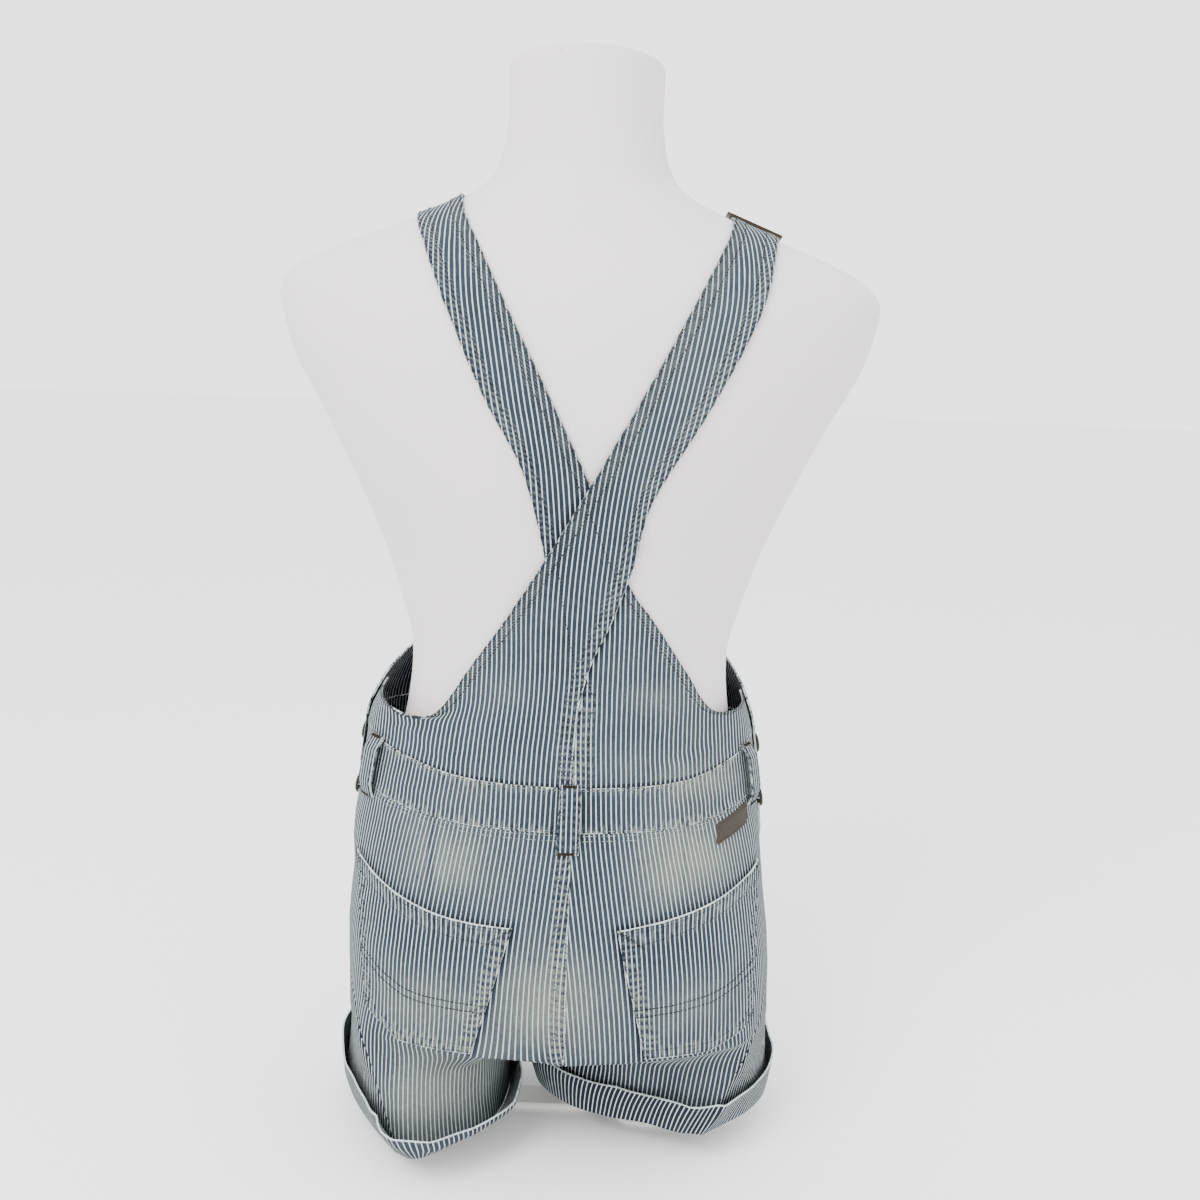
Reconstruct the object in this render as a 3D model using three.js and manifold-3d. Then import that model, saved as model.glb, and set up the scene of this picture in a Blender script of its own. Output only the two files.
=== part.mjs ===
// Striped denim dungaree shorts on a legless dress form, seen as they hang on it.
// Millimetres, +Z up. The back of the garment faces -Y and its bib faces +Y. The floor is z = 0.
import * as THREE from "three";
import { mergeVertices } from "three/addons/utils/BufferGeometryUtils.js";
import Module from "manifold-3d";

const wasm = await Module();
wasm.setup();

// Driving sizes
const CLOTH = 1.5; // thickness of one denim wall
const SEAM_GAP = 0.3; // between two pieces that meet edge to edge
const LAYER_GAP = 0.7; // between two pieces that lie on each other
const HALF_SEAM = 0.0008; // half a seam's gap, as a share of the way round
const FORM_BOTTOM = 118;
const FORM_EDGE = 2.6; // height of the rounding at the form's lower edge
const FORM_TOP = 892;
const PIVOT_Z = 700; // height of the shoulder bar that straps bend over
const OVER_SHOULDER_RADIUS = 75;

// The dress form: a ring at each height, as a superellipse of that power
const FORM = [
  { z: 118, side: 164, back: 126, front: 98, power: 2.7 },
  { z: 160, side: 168, back: 128, front: 101, power: 2.6 },
  { z: 200, side: 170, back: 128, front: 102, power: 2.5 },
  { z: 260, side: 163, back: 118, front: 102, power: 2.4 },
  { z: 320, side: 149, back: 101, front: 98, power: 2.3 },
  { z: 380, side: 136, back: 89, front: 94, power: 2.2 },
  { z: 430, side: 133, back: 86, front: 94, power: 2.2 },
  { z: 470, side: 143, back: 90, front: 97, power: 2.2 },
  { z: 516, side: 158, back: 98, front: 103, power: 2.2 },
  { z: 566, side: 180, back: 109, front: 108, power: 2.2 },
  { z: 616, side: 204, back: 116, front: 110, power: 2.2 },
  { z: 660, side: 228, back: 117, front: 108, power: 2.2 },
  { z: 696, side: 239, back: 112, front: 99, power: 2.2 },
  { z: 716, side: 240, back: 105, front: 90, power: 2.2 },
  { z: 730, side: 228, back: 97, front: 81, power: 2.2 },
  { z: 743, side: 204, back: 90, front: 75, power: 2.1 },
  { z: 755, side: 174, back: 82, front: 69, power: 2.1 },
  { z: 769, side: 138, back: 74, front: 65, power: 2.0 },
  { z: 783, side: 104, back: 67, front: 63, power: 2.0 },
  { z: 798, side: 79, back: 61, front: 64, power: 2.0 },
  { z: 817, side: 67, back: 57, front: 66, power: 2.0 },
  { z: 845, side: 61.5, back: 53, front: 68, power: 2.0 },
  { z: 870, side: 61, back: 53, front: 70, power: 2.0 },
  { z: 892, side: 61, back: 53, front: 72, power: 2.0 },
];

// How far the garment's inner face stands off the form at each height, and how far it hangs to one side
const EASE = [
  { z: 118, side: 17, back: 3.5, front: 20, sway: 0 },
  { z: 160, side: 13, back: 3.5, front: 21, sway: -1 },
  { z: 200, side: 9, back: 3.5, front: 22, sway: -3 },
  { z: 235, side: 8, back: 3.5, front: 21, sway: -4 },
  { z: 260, side: 10, back: 3.5, front: 20, sway: -5 },
  { z: 289, side: 14, back: 3.5, front: 19, sway: -6 },
  { z: 320, side: 18, back: 3.5, front: 18, sway: -6 },
  { z: 343, side: 20.5, back: 3.5, front: 18, sway: -6 },
  { z: 370, side: 22, back: 3, front: 18, sway: -6 },
  { z: 397, side: 14, back: 2.5, front: 18, sway: -4 },
  { z: 424, side: 5, back: 2, front: 16, sway: -1 },
  { z: 470, side: 2.5, back: 1.5, front: 12, sway: 0 },
  { z: 516, side: 2, back: 1.3, front: 9, sway: 0 },
  { z: 616, side: 1.4, back: 1.3, front: 5, sway: 0 },
  { z: 660, side: 1.4, back: 1.4, front: 2.8, sway: 0 },
  { z: 700, side: 1.9, back: 1.9, front: 1.9, sway: 0 },
  { z: 830, side: 1.9, back: 1.9, front: 1.9, sway: 0 },
];

// How far right of the middle the centre back seam lies, which fades out towards the sides
const TURN = [
  { z: 118, right: 8.3 },
  { z: 235, right: 12.4 },
  { z: 289, right: 14 },
  { z: 333, right: 14.8 },
  { z: 400, right: 14 },
];
const TURN_FADE = { from: 0.15, to: 0.5 };

// Waistband: height of its two seams round the body, from centre back (0) past the side (0.5) to centre front (1)
const WAIST_SEAMS = [
  { s: 0, top: 333, bottom: 299 },
  { s: 0.2, top: 337, bottom: 302 },
  { s: 0.35, top: 350, bottom: 311 },
  { s: 0.5, top: 362, bottom: 320 },
  { s: 0.65, top: 360, bottom: 318 },
  { s: 0.8, top: 352, bottom: 312 },
  { s: 1, top: 348, bottom: 309 },
];

// Side seam below the side opening: how far round the body it lies, as it swings back towards the hem
const OPENING_FOOT = 262; // where the buttoned side opening ends and the side seam begins
const SIDE_SEAM = [
  { z: 118, s: 0.345 },
  { z: 140, s: 0.385 },
  { z: 165, s: 0.43 },
  { z: 195, s: 0.475 },
  { z: 225, s: 0.5 },
  { z: 340, s: 0.5 },
];
const FRONT_LAP = 0.018; // how far the front laps past the side seam in the opening
const BACK_LAP = 0.03; // how far the back reaches forward under it
const FRONT_LIFT = CLOTH + LAYER_GAP + 1; // the front lies this far outside the back there

// Hem of each leg at the fold of the turn-up, which starts at the angle lean off the leg and ends at the angle rim
const LEGS = {
  left: {
    crotch: [-35.5, 4, 101],
    back: [
      { x: -43, y: 6, z: 28, lean: 5, rim: 3 },
      { x: -42, y: -34, z: 28, lean: 18, rim: 8 },
      { x: -51, y: -72, z: 29, lean: 56, rim: 14 },
      { x: -74, y: -96, z: 27, lean: 66, rim: 14 },
      { x: -98, y: -113, z: 22, lean: 64, rim: 12 },
      { x: -113, y: -117, z: 20, lean: 48, rim: 24 },
      { x: -126, y: -112, z: 22, lean: 12, rim: 4 },
    ],
    front: [
      { x: -126, y: -112, z: 22, lean: 12, rim: 4 },
      { x: -150, y: -84, z: 26, lean: 8, rim: 4 },
      { x: -174, y: -46, z: 29, lean: 8, rim: 4 },
      { x: -192, y: 4, z: 31, lean: 9, rim: 4 },
      { x: -189, y: 52, z: 32, lean: 9, rim: 4 },
      { x: -160, y: 88, z: 31, lean: 9, rim: 4 },
      { x: -118, y: 100, z: 30, lean: 11, rim: 4 },
      { x: -76, y: 88, z: 31, lean: 9, rim: 4 },
      { x: -50, y: 52, z: 30, lean: 7, rim: 3 },
      { x: -43, y: 6, z: 28, lean: 5, rim: 3 },
    ],
  },
  right: {
    crotch: [-32.5, 4, 101],
    back: [
      { x: -21, y: 10, z: 30, lean: 5, rim: 3 },
      { x: -12, y: -22, z: 31, lean: 14, rim: 4 },
      { x: 12, y: -50, z: 31, lean: 12, rim: 4 },
      { x: 44, y: -66, z: 31, lean: 5, rim: 4 },
      { x: 78, y: -74, z: 31, lean: 14, rim: 4 },
      { x: 102, y: -83, z: 30, lean: 22, rim: 6 },
      { x: 124, y: -86, z: 30, lean: 9, rim: 4 },
    ],
    front: [
      { x: 124, y: -86, z: 30, lean: 9, rim: 4 },
      { x: 142, y: -72, z: 31, lean: 7, rim: 4 },
      { x: 163, y: -54, z: 31, lean: 7, rim: 4 },
      { x: 182, y: -26, z: 32, lean: 8, rim: 4 },
      { x: 190, y: 20, z: 32, lean: 9, rim: 4 },
      { x: 182, y: 62, z: 32, lean: 10, rim: 4 },
      { x: 150, y: 92, z: 31, lean: 10, rim: 4 },
      { x: 104, y: 101, z: 31, lean: 9, rim: 4 },
      { x: 58, y: 95, z: 32, lean: 9, rim: 4 },
      { x: 14, y: 74, z: 31, lean: 8, rim: 4 },
      { x: -14, y: 44, z: 30, lean: 6, rim: 3 },
      { x: -21, y: 10, z: 30, lean: 5, rim: 3 },
    ],
  },
};
const CROTCH_SHARE = 0.4; // share of the lower panel's height at which its inner edge turns into the inseam
const UNDER_FADE = 3; // how quickly the pull of that inner edge fades across the panel
const CUFF_SHARE = 0.36; // share of the lower panel's height that the turn-up covers
const CUFF_WIDTH = 36;
const CUFF_CURL = 0.55; // share of its width past which a turn-up bends from lean to rim
const CUFF_ROWS = 5;
const TUCK = 2.6; // how sharply the back of a leg tucks in below the seat before it hangs straight

// Half back with the strap cut in one with it: its two edges, from the waist seam over the shoulder to the bib,
// and in the first rows a point between them, 30% of the way in, where the row dips below the armhole.
// The left half's strap goes over the right shoulder, on top of the other.
const STRAP_OVER = [
  { outer: [-176, 14, 362], bend: [-148, -44, 350], inner: [8.5, -100, 333] },
  { outer: [-172, 14, 377], bend: [-146, -46, 357], inner: [8.5, -98, 346] },
  { outer: [-166, 8, 390], bend: [-140, -48, 365], inner: [8.5, -96, 360] },
  { outer: [-150, -34, 383], bend: [-124, -60, 370], inner: [8.5, -94, 374] },
  { outer: [-130, -56, 377], bend: [-98, -72, 376], inner: [9.5, -92, 388] },
  { outer: [-108, -74, 380], bend: [-80, -79, 388], inner: [12, -90, 404] },
  { outer: [-77, -80, 424], inner: [20, -89, 433] },
  { outer: [-49, -89, 464], inner: [34, -90, 466] },
  { outer: [-19, -100, 513], inner: [48, -96, 508] },
  { outer: [14, -113, 571], inner: [60, -107, 556] },
  { outer: [53, -118, 642], inner: [101, -110, 630] },
  { outer: [87, -106, 707], inner: [134, -98, 697] },
  { outer: [112, -62, 757], inner: [148, -58, 746] },
  { outer: [117, 0, 771], inner: [153, 0, 759] },
  { outer: [112, 50, 750], inner: [149, 48, 740] },
  { outer: [102, 84, 712], inner: [139, 78, 708] },
  { outer: [90, 104, 660], inner: [128, 98, 658] },
  { outer: [83, 112, 612], inner: [121, 108, 612] },
];
const STRAP_UNDER = [
  { outer: [176, 14, 362], bend: [148, -44, 350], inner: [8.5, -100, 333] },
  { outer: [172, 14, 377], bend: [147, -46, 358], inner: [8.5, -98, 346] },
  { outer: [166, 8, 390], bend: [143, -47, 368], inner: [8.5, -96, 360] },
  { outer: [158, -28, 386], bend: [132, -56, 376], inner: [8.5, -94, 374] },
  { outer: [142, -50, 385], bend: [110, -68, 382], inner: [9.5, -92, 388] },
  { outer: [124, -64, 389], bend: [90, -76, 396], inner: [11.5, -90, 404] },
  { outer: [98, -72, 422], inner: [-5, -89, 438] },
  { outer: [67, -84, 465], inner: [-13, -90, 474] },
  { outer: [49, -93, 490], inner: [-19, -100, 513] },
  { outer: [14, -113, 571], inner: [-37, -107, 581] },
  { outer: [-19, -118, 638], inner: [-65, -112, 631] },
  { outer: [-53, -106, 703], inner: [-97, -103, 700] },
  { outer: [-86, -62, 765], inner: [-122, -60, 755] },
  { outer: [-94, 0, 779], inner: [-130, 0, 768] },
  { outer: [-93, 50, 754], inner: [-130, 48, 744] },
  { outer: [-89, 84, 712], inner: [-127, 80, 708] },
  { outer: [-85, 104, 660], inner: [-123, 98, 658] },
  { outer: [-83, 112, 612], inner: [-121, 108, 612] },
];
const CROSSING = { from: 350, to: 398, near: 16, far: 44 }; // where the upper strap lifts over the lower one
const STRAP_STEPS = { waist: 9, back: 12, shoulder: 14, chest: 6 };
const STRAP_REACH = { waist: 0.17, back: 0.62, shoulder: 0.88, chest: 1 }; // shares of its length where each ends
const CB_SEAM_TOP = 402; // where the two half backs part
const STRAP_COLUMNS = [0, 0.12, 0.3, 0.5, 0.74, 1];
const BEND_SHARE = 0.3;

// Bib: half width at each height above the waistband, as the side edge sweeps in from the hip
const BIB = [
  { share: 0, s: 0.485 },
  { share: 0.06, s: 0.487 },
  { share: 0.11, s: 0.5 },
  { share: 0.16, s: 0.55 },
  { share: 0.24, s: 0.62 },
  { share: 0.36, s: 0.67 },
  { share: 0.55, s: 0.705 },
  { share: 0.78, s: 0.725 },
  { share: 1, s: 0.74 },
];
const BIB_TOP = 606;
const BIB_ROWS = [0, 0.03, 0.06, 0.09, 0.12, 0.16, 0.21, 0.28, 0.38, 0.5, 0.64, 0.82, 1];
const BIB_COLUMNS = [0, 0.03, 0.06, 0.1, 0.16, 0.25, 0.37, 0.5, 0.63, 0.75, 0.84, 0.9, 0.94, 0.97, 1];

// Patch pockets on the seat, as distances round the body from the centre back seam, and heights
const POCKETS = {
  left: {
    innerTop: [43, 228],
    innerFoot: [74, 121.5],
    footCorner: [134, 121.5],
    outerFoot: [168, 142],
    outerTop: [184, 262],
    topSag: -9,
  },
  right: {
    innerTop: [37.5, 228],
    innerFoot: [63, 121.5],
    footCorner: [118, 121.5],
    outerFoot: [166, 136],
    outerTop: [186, 262],
    topSag: -3,
  },
};
const POCKET_CLOTH = 1.3;
const PATCH = { from: 124, to: 167, drop: 5, rise: 3.5, height: 17, thickness: 1.4 };
const LOOPS = [
  { name: "belt_loop_centre", s: -0.006, rise: 3, drop: 16, stand: 5.2 },
  { name: "belt_loop_left", s: -0.382, rise: 3, drop: 8, stand: 6 },
  { name: "belt_loop_right", s: 0.393, rise: 3, drop: 8, stand: 6 },
];
const LOOP_WIDTH = 17;

// Stand under the form
const FOOT = { inner: 50, outer: 145, back: -36, front: 102, thickness: 6, corner: 26, bevel: 1.5 };
const CROSSBAR = { back: -15, front: 15, corner: 3 };
const POST = { x: 90, radius: 12, flangeRadius: 28, flange: 4, ahead: 20 };

// Bar furniture of the straps
const SLIDER = { width: 48, length: 20, wire: 3 };
const HOOK = { width: 44, height: 40, wire: 3, neck: 9 };
const BUTTON = { radius: 8.5, cap: 2.6, shank: 2.4, inset: 0.045 };

const clamp01 = (x) => Math.min(1, Math.max(0, x));
const smooth = (from, to, x) => THREE.MathUtils.smoothstep(x, from, to);
const vec = (p) => new THREE.Vector3(p[0], p[1], p[2]);

// A cubic through a table's rows, in the column named, at height (or other key) x
function column(rows, key, name, x) {
  const last = rows.length - 1;
  let i = 0;
  while (i < last - 1 && rows[i + 1][key] <= x) i += 1;
  const slope = (k) => {
    const a = rows[Math.max(0, k - 1)];
    const b = rows[Math.min(last, k + 1)];
    return (b[name] - a[name]) / (b[key] - a[key]);
  };
  const [p, q] = [rows[i], rows[i + 1]];
  const span = q[key] - p[key];
  const t = clamp01((x - p[key]) / span);
  const [t2, t3] = [t * t, t * t * t];
  return (
    (2 * t3 - 3 * t2 + 1) * p[name] +
    (t3 - 2 * t2 + t) * slope(i) * span +
    (3 * t2 - 2 * t3) * q[name] +
    (t3 - t2) * slope(i + 1) * span
  );
}

// The body's ring at a height: the form itself, or the garment's inner face with off of ease added
function ring(z, worn, off = 0) {
  const ease = (name) => (worn ? column(EASE, "z", name, z) : 0) + off;
  return {
    side: column(FORM, "z", "side", z) + ease("side"),
    back: column(FORM, "z", "back", z) + ease("back"),
    front: column(FORM, "z", "front", z) + ease("front"),
    power: column(FORM, "z", "power", z),
    sway: worn ? column(EASE, "z", "sway", z) : 0,
  };
}

function ringAtAngle(r, angle) {
  const [sin, cos] = [Math.sin(angle), Math.cos(angle)];
  const bend = (v) => Math.sign(v) * Math.abs(v) ** (2 / r.power);
  return [r.side * bend(sin), -(cos > 0 ? r.back : r.front) * bend(cos)];
}

// A point of the ring by its share s of the way round: 0 at centre back, 0.5 at the right side, 1 at centre front,
// even in length within each quarter; negative s is the left side
const QUARTER_STEPS = 40;
function ringPoint(z, s, off = 0) {
  const r = ring(z, true, off);
  const fade = 1 - smooth(TURN_FADE.from, TURN_FADE.to, Math.abs(s));
  const turned = s + shareOf(column(TURN, "z", "right", z), z) * fade;
  const share = Math.abs(turned);
  const start = share > 0.5 ? Math.PI / 2 : 0;
  const wanted = share > 0.5 ? (share - 0.5) * 2 : share * 2;
  const { points, lengths } = quarterOf(r, start);
  const goal = clamp01(wanted) * lengths[QUARTER_STEPS];
  let k = 0;
  while (k < QUARTER_STEPS - 1 && lengths[k + 1] < goal) k += 1;
  const t = (goal - lengths[k]) / (lengths[k + 1] - lengths[k]);
  const x = points[k][0] + (points[k + 1][0] - points[k][0]) * t;
  const y = points[k][1] + (points[k + 1][1] - points[k][1]) * t;
  return new THREE.Vector3(Math.sign(turned) * x + r.sway, y, z);
}

// Points of a quarter of a ring, and the length up to each
function quarterOf(r, start) {
  const points = [ringAtAngle(r, start)];
  const lengths = [0];
  for (let i = 1; i <= QUARTER_STEPS; i += 1) {
    points.push(ringAtAngle(r, start + ((Math.PI / 2) * i) / QUARTER_STEPS));
    const [a, b] = [points[i - 1], points[i]];
    lengths.push(lengths[i - 1] + Math.hypot(b[0] - a[0], b[1] - a[1]));
  }
  return { points, lengths };
}

// The share of the way round that a distance takes up at a height, on the back
function shareOf(distance, z) {
  return (0.5 * distance) / quarterOf(ring(z, true, CLOTH), 0).lengths[QUARTER_STEPS];
}

// The ring surface moved out along its own normal
function onRing(z, s, off) {
  const step = 0.004;
  const ds = ringPoint(z, s + step).sub(ringPoint(z, s - step));
  const dz = ringPoint(z + 2, s).sub(ringPoint(z - 2, s));
  const normal = ds.cross(dz).normalize();
  return ringPoint(z, s).addScaledVector(normal, off);
}

// Below zero inside the garment's inner face, above zero outside it
function wornDepth(p) {
  const r = ring(THREE.MathUtils.clamp(p.z, FORM_BOTTOM, 830), true);
  const depth = p.y < 0 ? r.back : r.front;
  return (Math.abs(p.x - r.sway) / r.side) ** r.power + (Math.abs(p.y) / depth) ** r.power - 1;
}

// The point of the garment's inner face that lies outward of a rough point, moved out along the normal
const SEARCH_STEPS = 26;
function onBody(rough, off) {
  const spread = 0.35 + 0.6 * smooth(440, 650, rough.z);
  const core = new THREE.Vector3(rough.x * spread, 0, Math.min(rough.z, PIVOT_Z));
  const way = rough.clone().sub(core).normalize();
  let [near, far] = [0, 320];
  const at = (distance) => core.clone().addScaledVector(way, distance);
  for (let i = 0; i < SEARCH_STEPS; i += 1) {
    const middle = (near + far) / 2;
    if (wornDepth(at(middle)) < 0) near = middle;
    else far = middle;
  }
  const p = at(near);
  const slope = (axis) => {
    const step = new THREE.Vector3().setComponent(axis, 1);
    return wornDepth(p.clone().add(step)) - wornDepth(p.clone().sub(step));
  };
  const normal = new THREE.Vector3(slope(0), slope(1), slope(2)).normalize();
  return p.addScaledVector(normal, off);
}

// Normals of a grid, along its columns' direction crossed with its rows'
function gridNormals(grid, wrap) {
  const rows = grid.length;
  const columns = grid[0].length;
  return grid.map((line, i) =>
    line.map((_, j) => {
      const left = wrap ? (j + columns - 1) % columns : Math.max(0, j - 1);
      const right = wrap ? (j + 1) % columns : Math.min(columns - 1, j + 1);
      const across = line[right].clone().sub(line[left]);
      const up = grid[Math.min(rows - 1, i + 1)][j].clone().sub(grid[Math.max(0, i - 1)][j]);
      return across.cross(up).normalize();
    }),
  );
}

function moved(grid, distance, wrap = false) {
  const normals = gridNormals(grid, wrap);
  return grid.map((line, i) => line.map((p, j) => p.clone().addScaledVector(normals[i][j], distance)));
}

// A closed solid between two grids
function solidBetween(inside, outside, wrap = false) {
  const rows = inside.length;
  const columns = inside[0].length;
  const positions = [];
  [...inside, ...outside].flat().forEach((p) => positions.push(p.x, p.y, p.z));
  const id = (layer, i, j) => layer * rows * columns + i * columns + (j % columns);
  const faces = [];
  const quad = (a, b, c, d) => faces.push(a, b, c, a, c, d);
  const lastColumn = wrap ? columns : columns - 1;
  for (let i = 0; i < rows - 1; i += 1) {
    for (let j = 0; j < lastColumn; j += 1) {
      quad(id(1, i, j), id(1, i, j + 1), id(1, i + 1, j + 1), id(1, i + 1, j));
      quad(id(0, i, j), id(0, i + 1, j), id(0, i + 1, j + 1), id(0, i, j + 1));
    }
  }
  for (let j = 0; j < lastColumn; j += 1) {
    quad(id(0, 0, j), id(0, 0, j + 1), id(1, 0, j + 1), id(1, 0, j));
    quad(id(1, rows - 1, j), id(1, rows - 1, j + 1), id(0, rows - 1, j + 1), id(0, rows - 1, j));
  }
  if (!wrap) {
    for (let i = 0; i < rows - 1; i += 1) {
      quad(id(0, i, 0), id(1, i, 0), id(1, i + 1, 0), id(0, i + 1, 0));
      quad(id(0, i, columns - 1), id(0, i + 1, columns - 1), id(1, i + 1, columns - 1), id(1, i, columns - 1));
    }
  }
  return facingOut(positions, faces);
}

function facingOut(positions, faces) {
  const point = (k) => new THREE.Vector3().fromArray(positions, k * 3);
  let volume = 0;
  for (let i = 0; i < faces.length; i += 3) {
    volume += point(faces[i]).dot(point(faces[i + 1]).cross(point(faces[i + 2])));
  }
  if (volume < 0) faces.reverse();
  const geometry = new THREE.BufferGeometry();
  geometry.setAttribute("position", new THREE.Float32BufferAttribute(positions, 3));
  geometry.setIndex(faces);
  geometry.computeVertexNormals();
  return geometry;
}

const gridAt = (vs, us, at) => vs.map((v) => us.map((u) => at(v, u)));
const evenly = (count) => Array.from({ length: count + 1 }, (_, i) => i / count);
const gridOf = (rows, columns, at) => gridAt(evenly(rows), evenly(columns), at);

// Dress form, with its lower edge rounded and its neck top a little domed and tilted forward
const FORM_SEGMENTS = 36;
function formRings() {
  const rows = [
    { z: FORM_BOTTOM, inset: 9 },
    { z: FORM_BOTTOM + FORM_EDGE, inset: 2.8 },
    { z: FORM_BOTTOM + 9, inset: 0 },
  ];
  const between = [160, 205, 250, 295, 340, 385, 425, 465, 505, 545, 585, 625, 660, 688, 706, 718];
  const shoulder = [727, 736, 744, 752, 760, 768, 776, 784, 793, 804, 818, 840];
  [...between, ...shoulder].forEach((z) => rows.push({ z, inset: 0 }));
  rows.push({ z: FORM_TOP - 5, inset: 0 }, { z: FORM_TOP - 1.5, inset: 3.5 }, { z: FORM_TOP, inset: 10 });
  return rows;
}

function dressForm() {
  const rows = formRings();
  const positions = [];
  rows.forEach(({ z, inset }) => {
    const r = ring(z, false, -inset);
    const tilt = 0.09 * smooth(820, FORM_TOP, z);
    for (let j = 0; j < FORM_SEGMENTS; j += 1) {
      const [x, y] = ringAtAngle(r, (2 * Math.PI * j) / FORM_SEGMENTS);
      positions.push(x, y, z - tilt * y);
    }
  });
  const faces = [];
  const id = (i, j) => i * FORM_SEGMENTS + (j % FORM_SEGMENTS);
  const last = rows.length - 1;
  for (let i = 0; i < last; i += 1) {
    for (let j = 0; j < FORM_SEGMENTS; j += 1) {
      faces.push(id(i, j), id(i, j + 1), id(i + 1, j + 1), id(i, j), id(i + 1, j + 1), id(i + 1, j));
    }
  }
  const foot = positions.length / 3;
  positions.push(0, 0, FORM_BOTTOM, 0, 0, FORM_TOP + 1);
  for (let j = 0; j < FORM_SEGMENTS; j += 1) {
    faces.push(foot, id(0, j + 1), id(0, j), foot + 1, id(last, j), id(last, j + 1));
  }
  return facingOut(positions, faces);
}

// Leg panels: rings down to the form's lower edge, then a patch between the seat's edge and the hem
const sign = (side) => (side === "right" ? 1 : -1);

function sideShare(z, piece) {
  const seam = column(SIDE_SEAM, "z", "s", z);
  const open = OPENING_FOOT;
  if (piece === "front") return seam + HALF_SEAM - (FRONT_LAP + HALF_SEAM) * smooth(open + 8, open + 26, z);
  return seam - HALF_SEAM + (BACK_LAP + HALF_SEAM) * smooth(open + 26, open + 42, z);
}

const frontLift = (z) => FRONT_LIFT * smooth(OPENING_FOOT - 14, OPENING_FOOT + 8, z);

function hemCurve(rows) {
  return new THREE.CatmullRomCurve3(rows.map((r) => new THREE.Vector3(r.x, r.y, r.z)));
}

// Inner edge of a lower panel, from the seat's middle to the crotch, then down the inseam
function innerEdge(side, piece, v) {
  const leg = LEGS[side];
  const rows = leg[piece];
  const foot = piece === "back" ? rows[0] : rows[rows.length - 1];
  const start = ringPoint(FORM_BOTTOM, piece === "back" ? 0 : 1, CLOTH);
  const crotch = vec(leg.crotch);
  if (v >= CROTCH_SHARE) {
    const t = (v - CROTCH_SHARE) / (1 - CROTCH_SHARE);
    return crotch.lerp(new THREE.Vector3(foot.x, foot.y, foot.z), t);
  }
  const t = v / CROTCH_SHARE;
  const angle = (t * Math.PI) / 2;
  const under = 1 - Math.cos(angle);
  const down = Math.sin(Math.min(Math.PI / 2, angle * 1.6));
  const p = new THREE.Vector3();
  p.x = start.x + (crotch.x - start.x) * under;
  p.y = start.y + (crotch.y - start.y) * under;
  p.z = start.z + (crotch.z - start.z) * down;
  return p;
}

function lowerPanel(side, piece) {
  const dir = sign(side);
  const leg = LEGS[side];
  const hem = hemCurve(leg[piece]);
  const seamShare = sideShare(FORM_BOTTOM, piece);
  const seamTop = ringPoint(FORM_BOTTOM, dir * seamShare, CLOTH);
  const seamFoot = hem.getPoint(piece === "back" ? 1 : 0);
  const topAt = (u) => {
    const inner = piece === "back" ? 0 : 1;
    return ringPoint(FORM_BOTTOM, dir * (inner + (seamShare - inner) * u), CLOTH);
  };
  const footAt = (u) => hem.getPointAt(piece === "back" ? u : 1 - u);
  const seamAt = (v) => {
    const p = seamTop.clone().lerp(seamFoot, v);
    p.y -= 5 * Math.sin(Math.PI * v);
    return p;
  };
  const straight = (u, v) => {
    const p = topAt(u);
    const foot = footAt(u);
    const height = p.z + (foot.z - p.z) * v;
    const tucked = piece === "back" ? 1 - (1 - v) ** TUCK : v;
    return p.lerp(foot, tucked).setZ(height);
  };
  // u runs from the inner edge to the side seam, v from the seat's edge to the hem
  return (u, v) => {
    const p = straight(u, v);
    p.addScaledVector(innerEdge(side, piece, v).sub(straight(0, v)), (1 - u) ** UNDER_FADE);
    p.addScaledVector(seamAt(v).sub(straight(1, v)), u);
    p.z = Math.min(p.z, FORM_BOTTOM - FORM_EDGE * smooth(0, 0.05, v));
    return p;
  };
}

const PANEL_HEIGHTS = [0, 0.08, 0.15, 0.21, 0.27, 0.36, 0.48, 0.61, 0.74, 0.87, 1];
const LOWER_SHARES = [0.035, 0.1, 0.2, 0.3, 0.4, 0.52, 1 - CUFF_SHARE, 0.76, 0.88, 1];
const PANEL_COLUMNS = { back: 14, front: 17 };

// Points of a whole leg panel's outer face, row by row from the waistband to the hem
function panelGrid(side, piece) {
  const dir = sign(side);
  const centre = piece === "back" ? HALF_SEAM : 1 - HALF_SEAM;
  const rows = gridAt(PANEL_HEIGHTS, evenly(PANEL_COLUMNS[piece]), (share, u) => {
    const roughly = 300 - (300 - FORM_BOTTOM) * share;
    const s = centre + (sideShare(roughly, piece) - centre) * u;
    const top = column(WAIST_SEAMS, "s", "bottom", s) - SEAM_GAP;
    const z = top - (top - FORM_BOTTOM) * share;
    return onRing(z, dir * s, CLOTH + (piece === "front" ? frontLift(z) : 0));
  });
  const lower = legPatch(side, piece);
  return [...rows, ...gridAt(LOWER_SHARES, evenly(PANEL_COLUMNS[piece]), lower)];
}

// The lower patch of a panel, held off its neighbours by half the seam gap
function legPatch(side, piece) {
  const patch = lowerPanel(side, piece);
  const edge = SEAM_GAP / 2 / 180;
  return (v, u) => {
    const p = patch(THREE.MathUtils.clamp(u, edge, 1 - edge), v);
    p.x += sign(side) * (SEAM_GAP / 2) * (1 - u);
    return p;
  };
}

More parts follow.
